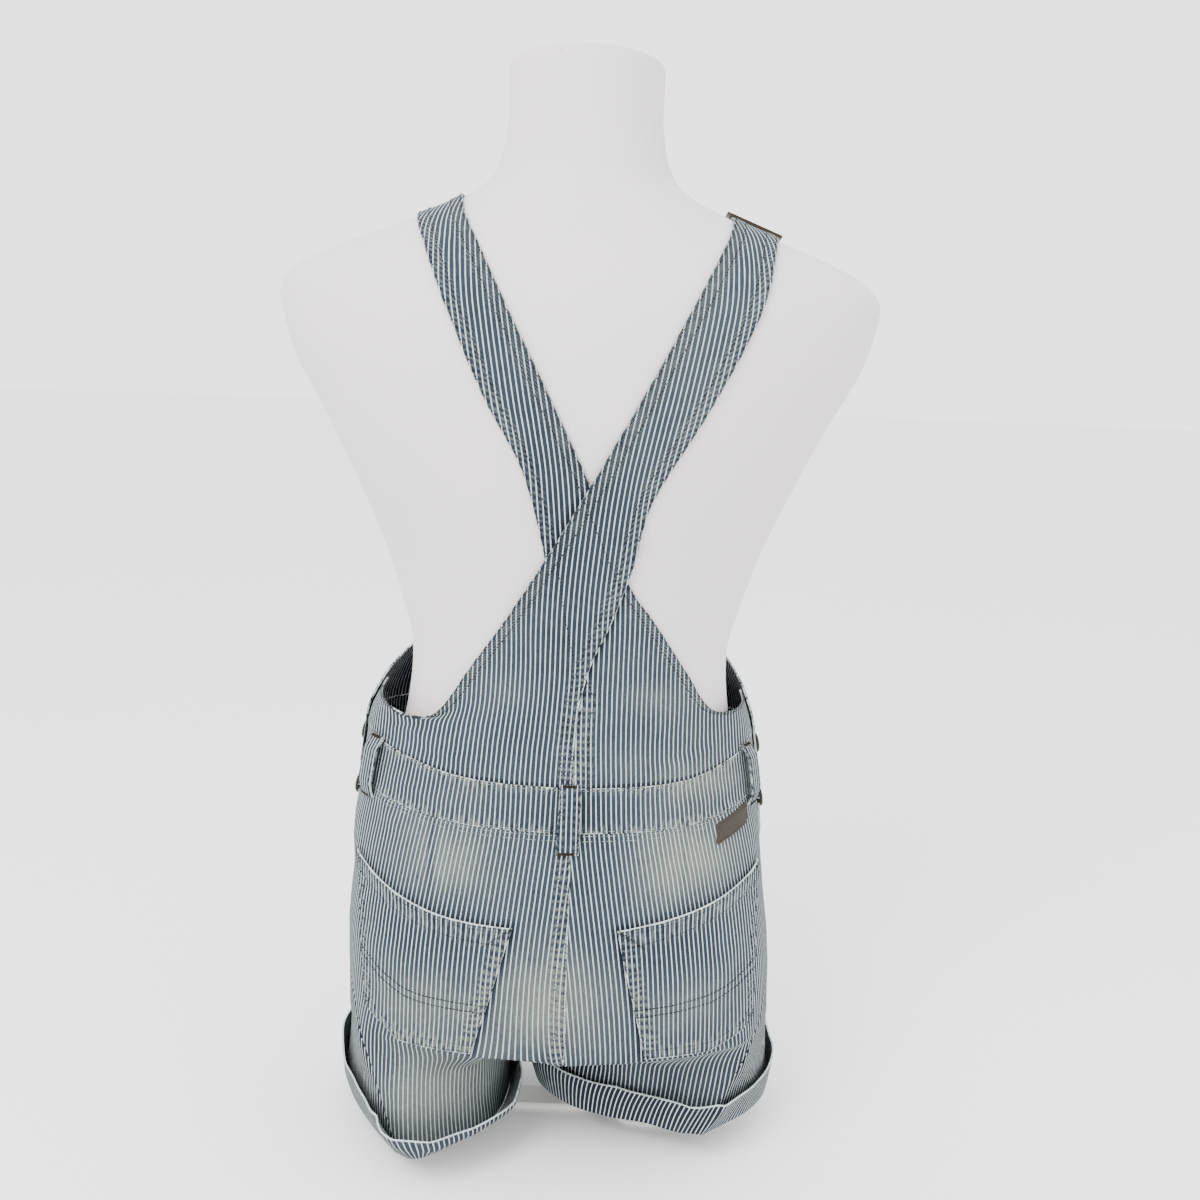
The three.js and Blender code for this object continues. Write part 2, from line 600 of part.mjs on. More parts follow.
// Outward normals of a leg's two panels, made the same along the seams where they meet
function legNormals(side) {
  const grids = { back: panelGrid(side, "back"), front: panelGrid(side, "front") };
  const turn = { back: sign(side), front: -sign(side) };
  const normals = {};
  ["back", "front"].forEach((piece) => {
    normals[piece] = gridNormals(grids[piece]).map((row) => row.map((n) => n.multiplyScalar(-turn[piece])));
  });
  const share = (rows, j, k) => {
    const both = normals.back[rows][j].clone().add(normals.front[rows][k]).normalize();
    normals.back[rows][j].copy(both);
    normals.front[rows][k].copy(both);
  };
  grids.back.forEach((row, i) => {
    const lowerShare = LOWER_SHARES[i - PANEL_HEIGHTS.length] ?? 0;
    if (row[row.length - 1].z < OPENING_FOOT - 14) share(i, PANEL_COLUMNS.back, PANEL_COLUMNS.front);
    if (lowerShare > CROTCH_SHARE) share(i, 0, 0);
    else ["back", "front"].forEach((piece) => normals[piece][i][0].setX(0).normalize());
    if (lowerShare === CROTCH_SHARE) ["back", "front"].forEach((piece) => normals[piece][i][0].set(0, 0, -1));
  });
  return { grids, normals };
}

function legPanel(leg, piece) {
  const { grids, normals } = leg;
  const inside = (p, i, j) => p.clone().addScaledVector(normals[piece][i][j], -CLOTH);
  const inner = grids[piece].map((row, i) => row.map((p, j) => inside(p, i, j)));
  return solidBetween(inner, grids[piece]);
}

// The turn-up's two angles at a share of the hem's length
function hemAngles(rows, share) {
  const reach = [0];
  rows.slice(1).forEach((row, i) => reach.push(reach[i] + Math.hypot(row.x - rows[i].x, row.y - rows[i].y)));
  const goal = share * reach[rows.length - 1];
  const k = Math.max(1, reach.findIndex((length) => length > goal - SEAM_GAP));
  const t = (goal - reach[k - 1]) / (reach[k] - reach[k - 1]);
  const between = (name) => rows[k - 1][name] + (rows[k][name] - rows[k - 1][name]) * t;
  return { lean: between("lean"), rim: between("rim") };
}

// How far up the leg and out from it each row of a turn-up lies, as shares of its width
function cuffProfile(lean, rim) {
  const steps = 6 * CUFF_ROWS;
  const profile = [{ up: 0, out: 0 }];
  for (let i = 1; i <= steps; i += 1) {
    const bend = smooth(CUFF_CURL, 1, (i - 0.5) / steps);
    const angle = THREE.MathUtils.degToRad(lean + (rim - lean) * bend);
    const before = profile[i - 1];
    profile.push({ up: before.up + Math.cos(angle) / steps, out: before.out + Math.sin(angle) / steps });
  }
  return evenly(CUFF_ROWS).map((t) => profile[Math.round(t * steps)]);
}

// Turn-up: the lowest rows of both panels of a leg, joined into a loop and moved out
function cuff(side) {
  const patches = { back: legPatch(side, "back"), front: legPatch(side, "front") };
  const station = (piece, u) => {
    const { lean, rim } = hemAngles(LEGS[side][piece], piece === "back" ? u : 1 - u);
    return { patch: patches[piece], u, profile: cuffProfile(lean, rim) };
  };
  const { back, front } = PANEL_COLUMNS;
  const stations = [];
  for (let j = 0; j < back; j += 1) stations.push(station("back", j / back));
  for (let j = 0; j < front; j += 1) stations.push(station("front", 1 - j / front));
  const rows = [...Array(CUFF_ROWS + 1).keys()];
  const base = rows.map((i) => stations.map(({ patch, u, profile }) => patch(1 - CUFF_SHARE * profile[i].up, u)));
  const normals = gridNormals(base, true);
  const away = (i, j) => sign(side) * (LAYER_GAP + CUFF_WIDTH * stations[j].profile[i].out);
  const inner = base.map((row, i) => row.map((p, j) => p.clone().addScaledVector(normals[i][j], away(i, j))));
  return solidBetween(inner, moved(inner, sign(side) * CLOTH, true), true);
}

// Waistband, as a back piece between the side openings and a front piece lapped over it
function bandPiece(piece) {
  const from = piece === "back" ? -(0.5 + BACK_LAP) : 0.5 - FRONT_LAP;
  const to = piece === "back" ? 0.5 + BACK_LAP : 1.5 + FRONT_LAP;
  const lift = piece === "back" ? 0 : FRONT_LIFT;
  const grid = gridOf(2, 30, (v, u) => {
    const around = from + (to - from) * u;
    const s = around > 1 ? around - 2 : around;
    const top = column(WAIST_SEAMS, "s", "top", Math.abs(s)) - SEAM_GAP / 2;
    const bottom = column(WAIST_SEAMS, "s", "bottom", Math.abs(s));
    return onRing(bottom + (top - bottom) * v, s, lift);
  });
  return solidBetween(grid, moved(grid, CLOTH));
}

// Places along the strap, evenly spaced within each stretch and closer together over the shoulder
function strapStations(outer, inner) {
  const samples = 300;
  const lengths = [0];
  let before = outer.getPoint(0).lerp(inner.getPoint(0), 0.5);
  for (let i = 1; i <= samples; i += 1) {
    const p = outer.getPoint(i / samples).lerp(inner.getPoint(i / samples), 0.5);
    lengths.push(lengths[i - 1] + p.distanceTo(before));
    before = p;
  }
  const shareAt = (share) => {
    const k = lengths.findIndex((length) => length >= share * lengths[samples]);
    return Math.max(0, k) / samples;
  };
  const stations = [0];
  let from = 0;
  Object.entries(STRAP_STEPS).forEach(([stretch, steps]) => {
    const to = STRAP_REACH[stretch];
    for (let k = 1; k <= steps; k += 1) stations.push(shareAt(from + ((to - from) * k) / steps));
    from = to;
  });
  return stations;
}

// How far the upper strap lifts over the lower one, whose rows there are these
const CROSSED_ROWS = [4, 13];
function crossingLift({ x, y, z }) {
  if (y > -60 || z > 660) return 0;
  const rows = STRAP_UNDER.slice(...CROSSED_ROWS).map(({ outer, inner }) => ({ right: outer, left: inner }));
  const edge = (name) => {
    const k = rows.findIndex((row, i) => i === rows.length - 1 || rows[i + 1][name][2] > z);
    const [a, b] = [rows[k][name], (rows[k + 1] ?? rows[k])[name]];
    if (b[2] === a[2]) return a[0];
    return THREE.MathUtils.mapLinear(THREE.MathUtils.clamp(z, a[2], b[2]), a[2], b[2], a[0], b[0]);
  };
  const inside = Math.min(x - edge("left"), edge("right") - x);
  const { from, to, near, far } = CROSSING;
  return (CLOTH + LAYER_GAP) * smooth(from, to, z) * smooth(-far, -near, inside);
}

// Half back and strap in one
function strapPiece(rows, lifted) {
  const through = (pick) => new THREE.CatmullRomCurve3(rows.map(pick), false, "centripetal");
  const outer = through((r) => vec(r.outer));
  const inner = through((r) => vec(r.inner));
  const bend = through((r) => (r.bend ? vec(r.bend) : vec(r.outer).lerp(vec(r.inner), BEND_SHARE)));
  const stations = strapStations(outer, inner);
  const dir = Math.sign(rows[0].outer[0]);
  const waist = 0.5 + BACK_LAP;
  const seamGap = dir * (SEAM_GAP / 2);
  const grids = [0, CLOTH].map((thickness) =>
    gridAt(stations, STRAP_COLUMNS, (v, u) => {
      if (v === 0) {
        const s = dir * (waist + (HALF_SEAM - waist) * u);
        return onRing(column(WAIST_SEAMS, "s", "top", Math.abs(s)) + SEAM_GAP, s, thickness);
      }
      const rough =
        u < BEND_SHARE
          ? outer.getPoint(v).lerp(bend.getPoint(v), u / BEND_SHARE)
          : bend.getPoint(v).lerp(inner.getPoint(v), (u - BEND_SHARE) / (1 - BEND_SHARE));
      if (rough.z < CB_SEAM_TOP) rough.x += seamGap * u;
      const onBib = v > 0.9 ? 1 - smooth(BIB_TOP + 6, BIB_TOP + 54, rough.z) : 0;
      const lift = (lifted ? crossingLift(rough) : 0) + onBib * FRONT_LIFT;
      return onBody(rough, lift + thickness);
    }),
  );
  return solidBetween(grids[0], grids[1]);
}

function bib() {
  const grid = gridAt(BIB_ROWS, BIB_COLUMNS, (v, u) => {
    const half = 1 - column(BIB, "share", "s", v);
    const around = 1 + half * (2 * u - 1);
    const s = around > 1 ? around - 2 : around;
    const low = column(WAIST_SEAMS, "s", "top", Math.abs(s)) + SEAM_GAP / 2;
    return onRing(low + (BIB_TOP - low) * v, s, FRONT_LIFT);
  });
  return solidBetween(grid, moved(grid, CLOTH));
}

// What lies on the seat: pockets and the patch, by distance from the centre back seam
function onSeat(side, distance, z, off) {
  return onRing(z, sign(side) * shareOf(distance, z), off);
}

function pocket(side) {
  const { innerTop, innerFoot, footCorner, outerFoot, outerTop, topSag } = POCKETS[side];
  const mix = (a, b, t) => [a[0] + (b[0] - a[0]) * t, a[1] + (b[1] - a[1]) * t];
  const bend = 0.55; // where the foot turns up towards the side
  const foot = (u) =>
    u < bend
      ? mix(innerFoot, footCorner, u / bend)
      : mix(footCorner, outerFoot, (u - bend) / (1 - bend));
  const grids = [CLOTH + LAYER_GAP, CLOTH + LAYER_GAP + POCKET_CLOTH].map((off) =>
    gridOf(6, 9, (v, u) => {
      const top = mix(innerTop, outerTop, u);
      top[1] += topSag * Math.sin(Math.PI * u);
      const p = mix(foot(u), top, v);
      return onSeat(side, p[0], p[1], off);
    }),
  );
  return solidBetween(grids[0], grids[1]);
}

function patch() {
  const from = CLOTH + LAYER_GAP;
  const grids = [from, from + PATCH.thickness].map((off) =>
    gridOf(2, 5, (v, u) => {
      const distance = PATCH.from + (PATCH.to - PATCH.from) * u;
      const seam = column(WAIST_SEAMS, "s", "bottom", shareOf(distance, 305));
      const drop = PATCH.drop - PATCH.rise * u;
      return onSeat("right", distance, seam - drop - PATCH.height * (1 - v), off);
    }),
  );
  return solidBetween(grids[0], grids[1]);
}

// Belt loop: a strip that stands off the waistband and comes down on the cloth above and below it
function beltLoop({ s, rise, drop, stand }) {
  const top = column(WAIST_SEAMS, "s", "top", Math.abs(s)) + rise;
  const bottom = column(WAIST_SEAMS, "s", "bottom", Math.abs(s)) - drop;
  const halfShare = shareOf(LOOP_WIDTH / 2, 320);
  const grids = [0, CLOTH].map((thickness) =>
    gridOf(10, 2, (v, u) => {
      const z = bottom + (top - bottom) * v;
      const arch = Math.min(1, 4.2 * Math.min(v, 1 - v)) ** 0.7;
      const lift = CLOTH + LAYER_GAP + stand * arch + thickness;
      return onRing(z, s + halfShare * (2 * u - 1), lift);
    }),
  );
  return solidBetween(grids[0], grids[1]);
}

// Hardware is drawn flat, its face to +Z and its top to +Y, then set on the cloth
function extruded(shape, depth) {
  return new THREE.ExtrudeGeometry(shape, { depth, bevelEnabled: false, curveSegments: 3 });
}

function roundedBox(target, width, height, radius, cx = 0, cy = 0) {
  const [x, y] = [width / 2, height / 2];
  const corners = [
    [x, -y, -Math.PI / 2],
    [x, y, 0],
    [-x, y, Math.PI / 2],
    [-x, -y, Math.PI],
  ];
  corners.forEach(([px, py, start]) => {
    const [ax, ay] = [cx + px - Math.sign(px) * radius, cy + py - Math.sign(py) * radius];
    target.absarc(ax, ay, radius, start, start + Math.PI / 2, false);
  });
  target.closePath();
  return target;
}

function sliderFrame() {
  const outline = roundedBox(new THREE.Shape(), SLIDER.width, SLIDER.length, 3);
  const slot = (SLIDER.length - 3 * SLIDER.wire) / 2;
  [-1, 1].forEach((way) => {
    const y = (way * (slot + SLIDER.wire)) / 2;
    outline.holes.push(roundedBox(new THREE.Path(), SLIDER.width - 2 * SLIDER.wire, slot, 1, 0, y));
  });
  return extruded(outline, 2.2);
}

function hookFrame() {
  const outline = roundedBox(new THREE.Shape(), HOOK.width, HOOK.height, 8);
  const upper = roundedBox(new THREE.Path(), HOOK.width - 2 * HOOK.wire, 9, 2, 0, HOOK.height / 2 - HOOK.wire - 4.5);
  const lowY = -HOOK.height / 2 + HOOK.wire;
  const lower = roundedBox(new THREE.Path(), HOOK.neck, 18, HOOK.neck / 2 - 0.2, 0, lowY + 9);
  outline.holes.push(upper, lower);
  return extruded(outline, 2.4);
}

function solidOf(geometry) {
  const bare = geometry.clone();
  bare.deleteAttribute("normal");
  bare.deleteAttribute("uv");
  const merged = mergeVertices(bare, 1e-4);
  return new wasm.Manifold(
    new wasm.Mesh({
      numProp: 3,
      vertProperties: new Float32Array(merged.attributes.position.array),
      triVerts: new Uint32Array(merged.index.array),
    }),
  );
}

function geometryOf(solid) {
  const mesh = solid.getMesh();
  const geometry = new THREE.BufferGeometry();
  geometry.setAttribute("position", new THREE.BufferAttribute(new Float32Array(mesh.vertProperties), 3));
  geometry.setIndex(new THREE.BufferAttribute(new Uint32Array(mesh.triVerts), 1));
  return geometry;
}

// Button: a cap on a shank, standing along +Z
function buttonSolid(height) {
  const profile = [
    [0, 0],
    [BUTTON.shank, 0],
    [BUTTON.shank, height],
    [BUTTON.radius, height],
    [BUTTON.radius, height + BUTTON.cap - 1],
    [BUTTON.radius - 1.2, height + BUTTON.cap],
    [0, height + BUTTON.cap],
  ];
  const lathe = new THREE.LatheGeometry(profile.map(([x, y]) => new THREE.Vector2(x, y)), 12);
  return lathe.rotateX(Math.PI / 2);
}

// Sets a flat piece at a point, its face along the normal there and its top upwards
function setOn(mesh, at, normal, along) {
  const face = normal.clone().normalize();
  const across = along.clone().cross(face).normalize();
  const top = face.clone().cross(across).normalize();
  mesh.quaternion.setFromRotationMatrix(new THREE.Matrix4().makeBasis(across, top, face));
  mesh.position.copy(at);
  return mesh;
}

// Point, outward normal and direction along the strap at a share of its length, in the middle of its width
function strapPlace(rows, v, off) {
  const middle = rows.map((r) => vec(r.outer).lerp(vec(r.inner), 0.5));
  const curve = new THREE.CatmullRomCurve3(middle, false, "centripetal");
  const at = onBody(curve.getPoint(v), off);
  const normal = onBody(curve.getPoint(v), off + 1).sub(at);
  const along = curve.getPoint(Math.max(0, v - 0.01)).sub(curve.getPoint(v));
  return { at, normal, along };
}

// Stand
function plate(left, right, back, front, corner) {
  const b = FOOT.bevel;
  const points = [
    [right - b, back + b],
    [right - b, front - b],
    [left + b, front - b],
    [left + b, back + b],
  ];
  return new THREE.ExtrudeGeometry(filleted(points, corner), {
    depth: FOOT.thickness - 2 * b,
    bevelEnabled: true,
    bevelThickness: b,
    bevelSize: b,
    bevelSegments: 1,
    curveSegments: 6,
  }).translate(0, 0, b);
}

// A closed outline through corner points, each rounded by a quadratic of that reach
function filleted(points, reach) {
  const shape = new THREE.Shape();
  points.forEach(([x, y], i) => {
    const towards = ([px, py]) => {
      const length = Math.hypot(px - x, py - y);
      return [x + ((px - x) * reach) / length, y + ((py - y) * reach) / length];
    };
    const start = towards(points[(i + points.length - 1) % points.length]);
    const end = towards(points[(i + 1) % points.length]);
    if (i === 0) shape.moveTo(...start);
    else shape.lineTo(...start);
    shape.quadraticCurveTo(x, y, ...end);
  });
  shape.closePath();
  return shape;
}

function post() {
  const low = FOOT.thickness + SEAM_GAP;
  const high = FORM_BOTTOM - SEAM_GAP;
  const shaft = new THREE.CylinderGeometry(POST.radius, POST.radius, high - low, 14)
    .rotateX(Math.PI / 2)
    .translate(0, 0, (low + high) / 2);
  const flange = new THREE.CylinderGeometry(POST.flangeRadius, POST.flangeRadius, POST.flange, 16)
    .rotateX(Math.PI / 2)
    .translate(0, 0, high - POST.flange / 2);
  return geometryOf(solidOf(shaft).add(solidOf(flange)));
}

// Materials
const paint = (color, roughness, metalness = 0) => new THREE.MeshStandardMaterial({ color, roughness, metalness });
const MATERIALS = {
  denim: paint("#8592a0", 0.85),
  turnup: paint("#6f7d8d", 0.85),
  jersey: paint("#e4e0df", 0.8),
  bronze: paint("#4b443a", 0.4, 1),
  leather: paint("#7d7067", 0.6),
  stand: paint("#eceae6", 0.45),
};

const garment = new THREE.Group();
const stand = new THREE.Group();
const model = new THREE.Group();
model.add(stand, garment);

function add(group, name, geometry, material) {
  const mesh = new THREE.Mesh(geometry, MATERIALS[material]);
  mesh.name = name;
  group.add(mesh);
  return mesh;
}

add(stand, "dress_form", dressForm(), "jersey");
const foot = (left, right) => plate(left, right, FOOT.back, FOOT.front, FOOT.corner);
add(stand, "foot_left", foot(-FOOT.outer, -FOOT.inner), "stand");
add(stand, "foot_right", foot(FOOT.inner, FOOT.outer), "stand");
const reach = FOOT.inner - SEAM_GAP;
add(stand, "crossbar", plate(-reach, reach, CROSSBAR.back, CROSSBAR.front, CROSSBAR.corner), "stand");
add(stand, "post_left", post(), "stand").position.set(-POST.x, POST.ahead, 0);
add(stand, "post_right", post(), "stand").position.set(POST.x, POST.ahead, 0);

["left", "right"].forEach((side) => {
  const leg = legNormals(side);
  add(garment, "back_" + side, legPanel(leg, "back"), "denim");
  add(garment, "front_" + side, legPanel(leg, "front"), "denim");
  add(garment, "turnup_" + side, cuff(side), "turnup");
  add(garment, "pocket_" + side, pocket(side), "denim");
});
add(garment, "waistband_back", bandPiece("back"), "denim");
add(garment, "waistband_front", bandPiece("front"), "denim");
add(garment, "yoke_left_strap_right", strapPiece(STRAP_OVER, true), "denim");
add(garment, "yoke_right_strap_left", strapPiece(STRAP_UNDER, false), "denim");
add(garment, "bib", bib(), "denim");
add(garment, "leather_patch", patch(), "leather");
LOOPS.forEach((loop) => add(garment, loop.name, beltLoop(loop), "denim"));

// Sliders on the shoulders, hooks and buttons on the bib, buttons down the side openings
const STRAPS = [
  { side: "right", rows: STRAP_OVER, slider: 0.765 },
  { side: "left", rows: STRAP_UNDER, slider: 0.86 },
];
STRAPS.forEach(({ side, rows, slider }) => {
  const place = strapPlace(rows, slider, CLOTH + 2 * SEAM_GAP);
  setOn(add(garment, "slider_" + side, sliderFrame(), "bronze"), place.at, place.normal, place.along);
  const x = sign(side) * 102;
  const bibFace = (z, off) => onBody(new THREE.Vector3(x, 110, z), FRONT_LIFT + CLOTH + off);
  const normal = bibFace(600, 1).sub(bibFace(600, 0));
  const up = new THREE.Vector3(0, 0, 1);
  setOn(add(garment, "hook_" + side, hookFrame(), "bronze"), bibFace(600, 0.6), normal, up);
  const button = add(garment, "bib_button_" + side, buttonSolid(3.2), "bronze");
  setOn(button, bibFace(590, SEAM_GAP), normal, up);
  [341, 292].forEach((z, k) => {
    const s = sign(side) * (0.5 - FRONT_LAP + BUTTON.inset);
    const at = onRing(z, s, FRONT_LIFT + CLOTH + SEAM_GAP);
    const out = onRing(z, s, FRONT_LIFT + CLOTH + 2).sub(at);
    setOn(add(garment, `side_button_${side}_${k + 1}`, buttonSolid(0.8), "bronze"), at, out, up);
  });
});

export default model;
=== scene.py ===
"""Striped denim dungaree shorts on a limbless dress form, as seen from behind."""
import math

import bpy
import numpy as np
from bpy.props import FloatProperty, FloatVectorProperty, PointerProperty
from mathutils import Matrix, Vector


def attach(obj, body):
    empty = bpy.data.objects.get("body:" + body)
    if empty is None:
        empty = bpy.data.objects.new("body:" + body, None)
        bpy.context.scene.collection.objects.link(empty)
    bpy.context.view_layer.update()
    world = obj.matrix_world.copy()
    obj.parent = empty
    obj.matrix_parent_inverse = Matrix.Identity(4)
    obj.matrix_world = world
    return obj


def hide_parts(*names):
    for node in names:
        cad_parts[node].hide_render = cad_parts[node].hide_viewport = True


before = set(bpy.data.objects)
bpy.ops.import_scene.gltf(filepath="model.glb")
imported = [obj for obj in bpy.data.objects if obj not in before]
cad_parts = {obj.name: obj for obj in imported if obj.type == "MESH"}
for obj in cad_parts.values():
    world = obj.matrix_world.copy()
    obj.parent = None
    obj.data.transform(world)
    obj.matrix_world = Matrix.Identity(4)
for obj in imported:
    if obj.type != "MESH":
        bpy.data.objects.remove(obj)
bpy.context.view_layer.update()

bl_info = {
    "name": "Denim Dungarees",
    "version": (1, 0, 0),
    "blender": (4, 5, 0),
    "location": "View3D > Sidebar > Dungarees",
    "description": "Builds striped denim dungaree shorts on a dress form",
    "category": "Object",
}

MM = 0.001


def table(names, rows):
    """A table's columns by name"""
    return dict(zip(names.split(), np.array(rows, float).T))


# The dress form: a ring at each height, as a superellipse of that power. All tables are in millimetres.
FORM = table("z side back front power", [
    (118, 164, 126, 98, 2.7), (160, 168, 128, 101, 2.6), (200, 170, 128, 102, 2.5),
    (260, 163, 118, 102, 2.4), (320, 149, 101, 98, 2.3), (380, 136, 89, 94, 2.2),
    (430, 133, 86, 94, 2.2), (470, 143, 90, 97, 2.2), (516, 158, 98, 103, 2.2),
    (566, 180, 109, 108, 2.2), (616, 204, 116, 110, 2.2), (660, 228, 117, 108, 2.2),
    (696, 239, 112, 99, 2.2), (716, 240, 105, 90, 2.2), (730, 228, 97, 81, 2.2),
    (743, 204, 90, 75, 2.1), (755, 174, 82, 69, 2.1), (769, 138, 74, 65, 2.0),
    (783, 104, 67, 63, 2.0), (798, 79, 61, 64, 2.0), (817, 67, 57, 66, 2.0),
    (845, 61.5, 53, 68, 2.0), (870, 61, 53, 70, 2.0), (892, 61, 53, 72, 2.0),
])
FORM_BOTTOM = 118
FORM_TOP = 892
# How far the garment's inner face stands off the form, and how far it hangs to one side
EASE = table("z side back front sway", [
    (118, 17, 3.5, 20, 0), (160, 13, 3.5, 21, -1), (200, 9, 3.5, 22, -3), (235, 8, 3.5, 21, -4),
    (260, 10, 3.5, 20, -5), (289, 14, 3.5, 19, -6), (320, 18, 3.5, 18, -6), (343, 20.5, 3.5, 18, -6),
    (370, 22, 3, 18, -6), (397, 14, 2.5, 18, -4), (424, 5, 2, 16, -1), (470, 2.5, 1.5, 12, 0),
    (516, 2, 1.3, 9, 0), (616, 1.4, 1.3, 5, 0), (660, 1.4, 1.4, 2.8, 0), (700, 1.9, 1.9, 1.9, 0),
    (830, 1.9, 1.9, 1.9, 0),
])
# How far right of the middle the centre back seam lies, which fades out towards the sides
TURN = table("z right", [(118, 8.3), (235, 12.4), (289, 14), (333, 14.8), (400, 14)])
TURN_FADE = (0.15, 0.5)
WAIST_SEAMS = table("s top bottom", [
    (0, 333, 299), (0.2, 337, 302), (0.35, 350, 311), (0.5, 362, 320), (0.65, 360, 318),
    (0.8, 352, 312), (1, 348, 309),
])
SIDE_SEAM = table("z s", [(118, 0.345), (140, 0.385), (165, 0.43), (195, 0.475), (225, 0.5), (340, 0.5)])
OPENING_FOOT = 262
FRONT_LAP = 0.018
BACK_LAP = 0.03
CLOTH = 1.5
SEAM_GAP = 0.3
LAYER_GAP = 0.7
FRONT_LIFT = CLOTH + LAYER_GAP + 1
HALF_SEAM = 0.0001  # half a seam's gap, as a share of the way round
PIVOT_Z = 700

# Hem of each leg at the fold of its turn-up, which starts at the angle lean off the leg and ends at rim
LEGS = {
    "left": {
        "crotch": (-35.5, 4, 101),
        "back": table("x y z lean rim", [
            (-43, 6, 28, 5, 3), (-42, -34, 28, 18, 8), (-51, -72, 29, 56, 14), (-74, -96, 27, 66, 14),
            (-98, -113, 22, 64, 12), (-113, -117, 20, 48, 24), (-126, -112, 22, 12, 4),
        ]),
        "front": table("x y z lean rim", [
            (-126, -112, 22, 12, 4), (-150, -84, 26, 8, 4), (-174, -46, 29, 8, 4), (-192, 4, 31, 9, 4),
            (-189, 52, 32, 9, 4), (-160, 88, 31, 9, 4), (-118, 100, 30, 11, 4), (-76, 88, 31, 9, 4),
            (-50, 52, 30, 7, 3), (-43, 6, 28, 5, 3),
        ]),
    },
    "right": {
        "crotch": (-32.5, 4, 101),
        "back": table("x y z lean rim", [
            (-21, 10, 30, 5, 3), (-12, -22, 31, 14, 4), (12, -50, 31, 12, 4), (44, -66, 31, 5, 4),
            (78, -74, 31, 14, 4), (102, -83, 30, 22, 6), (124, -86, 30, 9, 4),
        ]),
        "front": table("x y z lean rim", [
            (124, -86, 30, 9, 4), (142, -72, 31, 7, 4), (163, -54, 31, 7, 4), (182, -26, 32, 8, 4),
            (190, 20, 32, 9, 4), (182, 62, 32, 10, 4), (150, 92, 31, 10, 4), (104, 101, 31, 9, 4),
            (58, 95, 32, 9, 4), (14, 74, 31, 8, 4), (-14, 44, 30, 6, 3), (-21, 10, 30, 5, 3),
        ]),
    },
}
CROTCH_SHARE = 0.4
UNDER_FADE = 3
UNDER_DROP = 2.6  # how far a lower panel starts below the form's bottom
SIDE_BOW = 5  # how far a side seam bows back below the form
PANEL_WIDTH = 360  # a rough one, by which a seam's gap is a share of a panel
CUFF_WIDTH = 36
CUFF_CURL = 0.55  # share of its width past which a turn-up bends from lean to rim
TUCK = 2.6  # how sharply the back of a leg tucks in below the seat before it hangs straight
CUFF_SHARE = 0.36  # share of the lower panels' height that a turn-up covers
CUFF_STATIONS = (("back", 110), ("front", 130))
CUFF_WAVE = 0.9  # how far a turn-up's rim waves, and stands off

# Half back with its strap: outer edge, a point bend_share of the way in, and inner edge
STRAP_NAMES = "ox oy oz bx by bz ix iy iz"
STRAP_OVER = table(STRAP_NAMES, [
    (-176, 14, 362, -148, -44, 350, 8.5, -100, 333), (-172, 14, 377, -146, -46, 357, 8.5, -98, 346),
    (-166, 8, 390, -140, -48, 365, 8.5, -96, 360), (-150, -34, 383, -124, -60, 370, 8.5, -94, 374),
    (-130, -56, 377, -98, -72, 376, 9.5, -92, 388), (-108, -74, 380, -80, -79, 388, 12, -90, 404),
    (-77, -80, 424, None, None, None, 20, -89, 433), (-49, -89, 464, None, None, None, 34, -90, 466),
    (-19, -100, 513, None, None, None, 48, -96, 508), (14, -113, 571, None, None, None, 60, -107, 556),
    (53, -118, 642, None, None, None, 101, -110, 630), (87, -106, 707, None, None, None, 134, -98, 697),
    (112, -62, 757, None, None, None, 148, -58, 746), (117, 0, 771, None, None, None, 153, 0, 759),
    (112, 50, 750, None, None, None, 149, 48, 740), (102, 84, 712, None, None, None, 139, 78, 708),
    (90, 104, 660, None, None, None, 128, 98, 658), (83, 112, 612, None, None, None, 121, 108, 612),
])
STRAP_UNDER = table(STRAP_NAMES, [
    (176, 14, 362, 148, -44, 350, 8.5, -100, 333), (172, 14, 377, 147, -46, 358, 8.5, -98, 346),
    (166, 8, 390, 143, -47, 368, 8.5, -96, 360), (158, -28, 386, 132, -56, 376, 8.5, -94, 374),
    (142, -50, 385, 110, -68, 382, 9.5, -92, 388), (124, -64, 389, 90, -76, 396, 11.5, -90, 404),
    (98, -72, 422, None, None, None, -5, -89, 438), (67, -84, 465, None, None, None, -13, -90, 474),
    (49, -93, 490, None, None, None, -19, -100, 513), (14, -113, 571, None, None, None, -37, -107, 581),
    (-19, -118, 638, None, None, None, -65, -112, 631), (-53, -106, 703, None, None, None, -97, -103, 700),
    (-86, -62, 765, None, None, None, -122, -60, 755), (-94, 0, 779, None, None, None, -130, 0, 768),
    (-93, 50, 754, None, None, None, -130, 48, 744), (-89, 84, 712, None, None, None, -127, 80, 708),
    (-85, 104, 660, None, None, None, -123, 98, 658), (-83, 112, 612, None, None, None, -121, 108, 612),
])
CROSSING = {"from": 350, "to": 398, "near": 16, "far": 44, "behind": -60, "top": 660}
CROSSED_ROWS = slice(4, 13)
BEND_SHARE = 0.3
FIRST_STATION = 0.019  # share of a strap's length over which its foot follows the waist seam
CB_SEAM_TOP = 402  # where the two half backs part

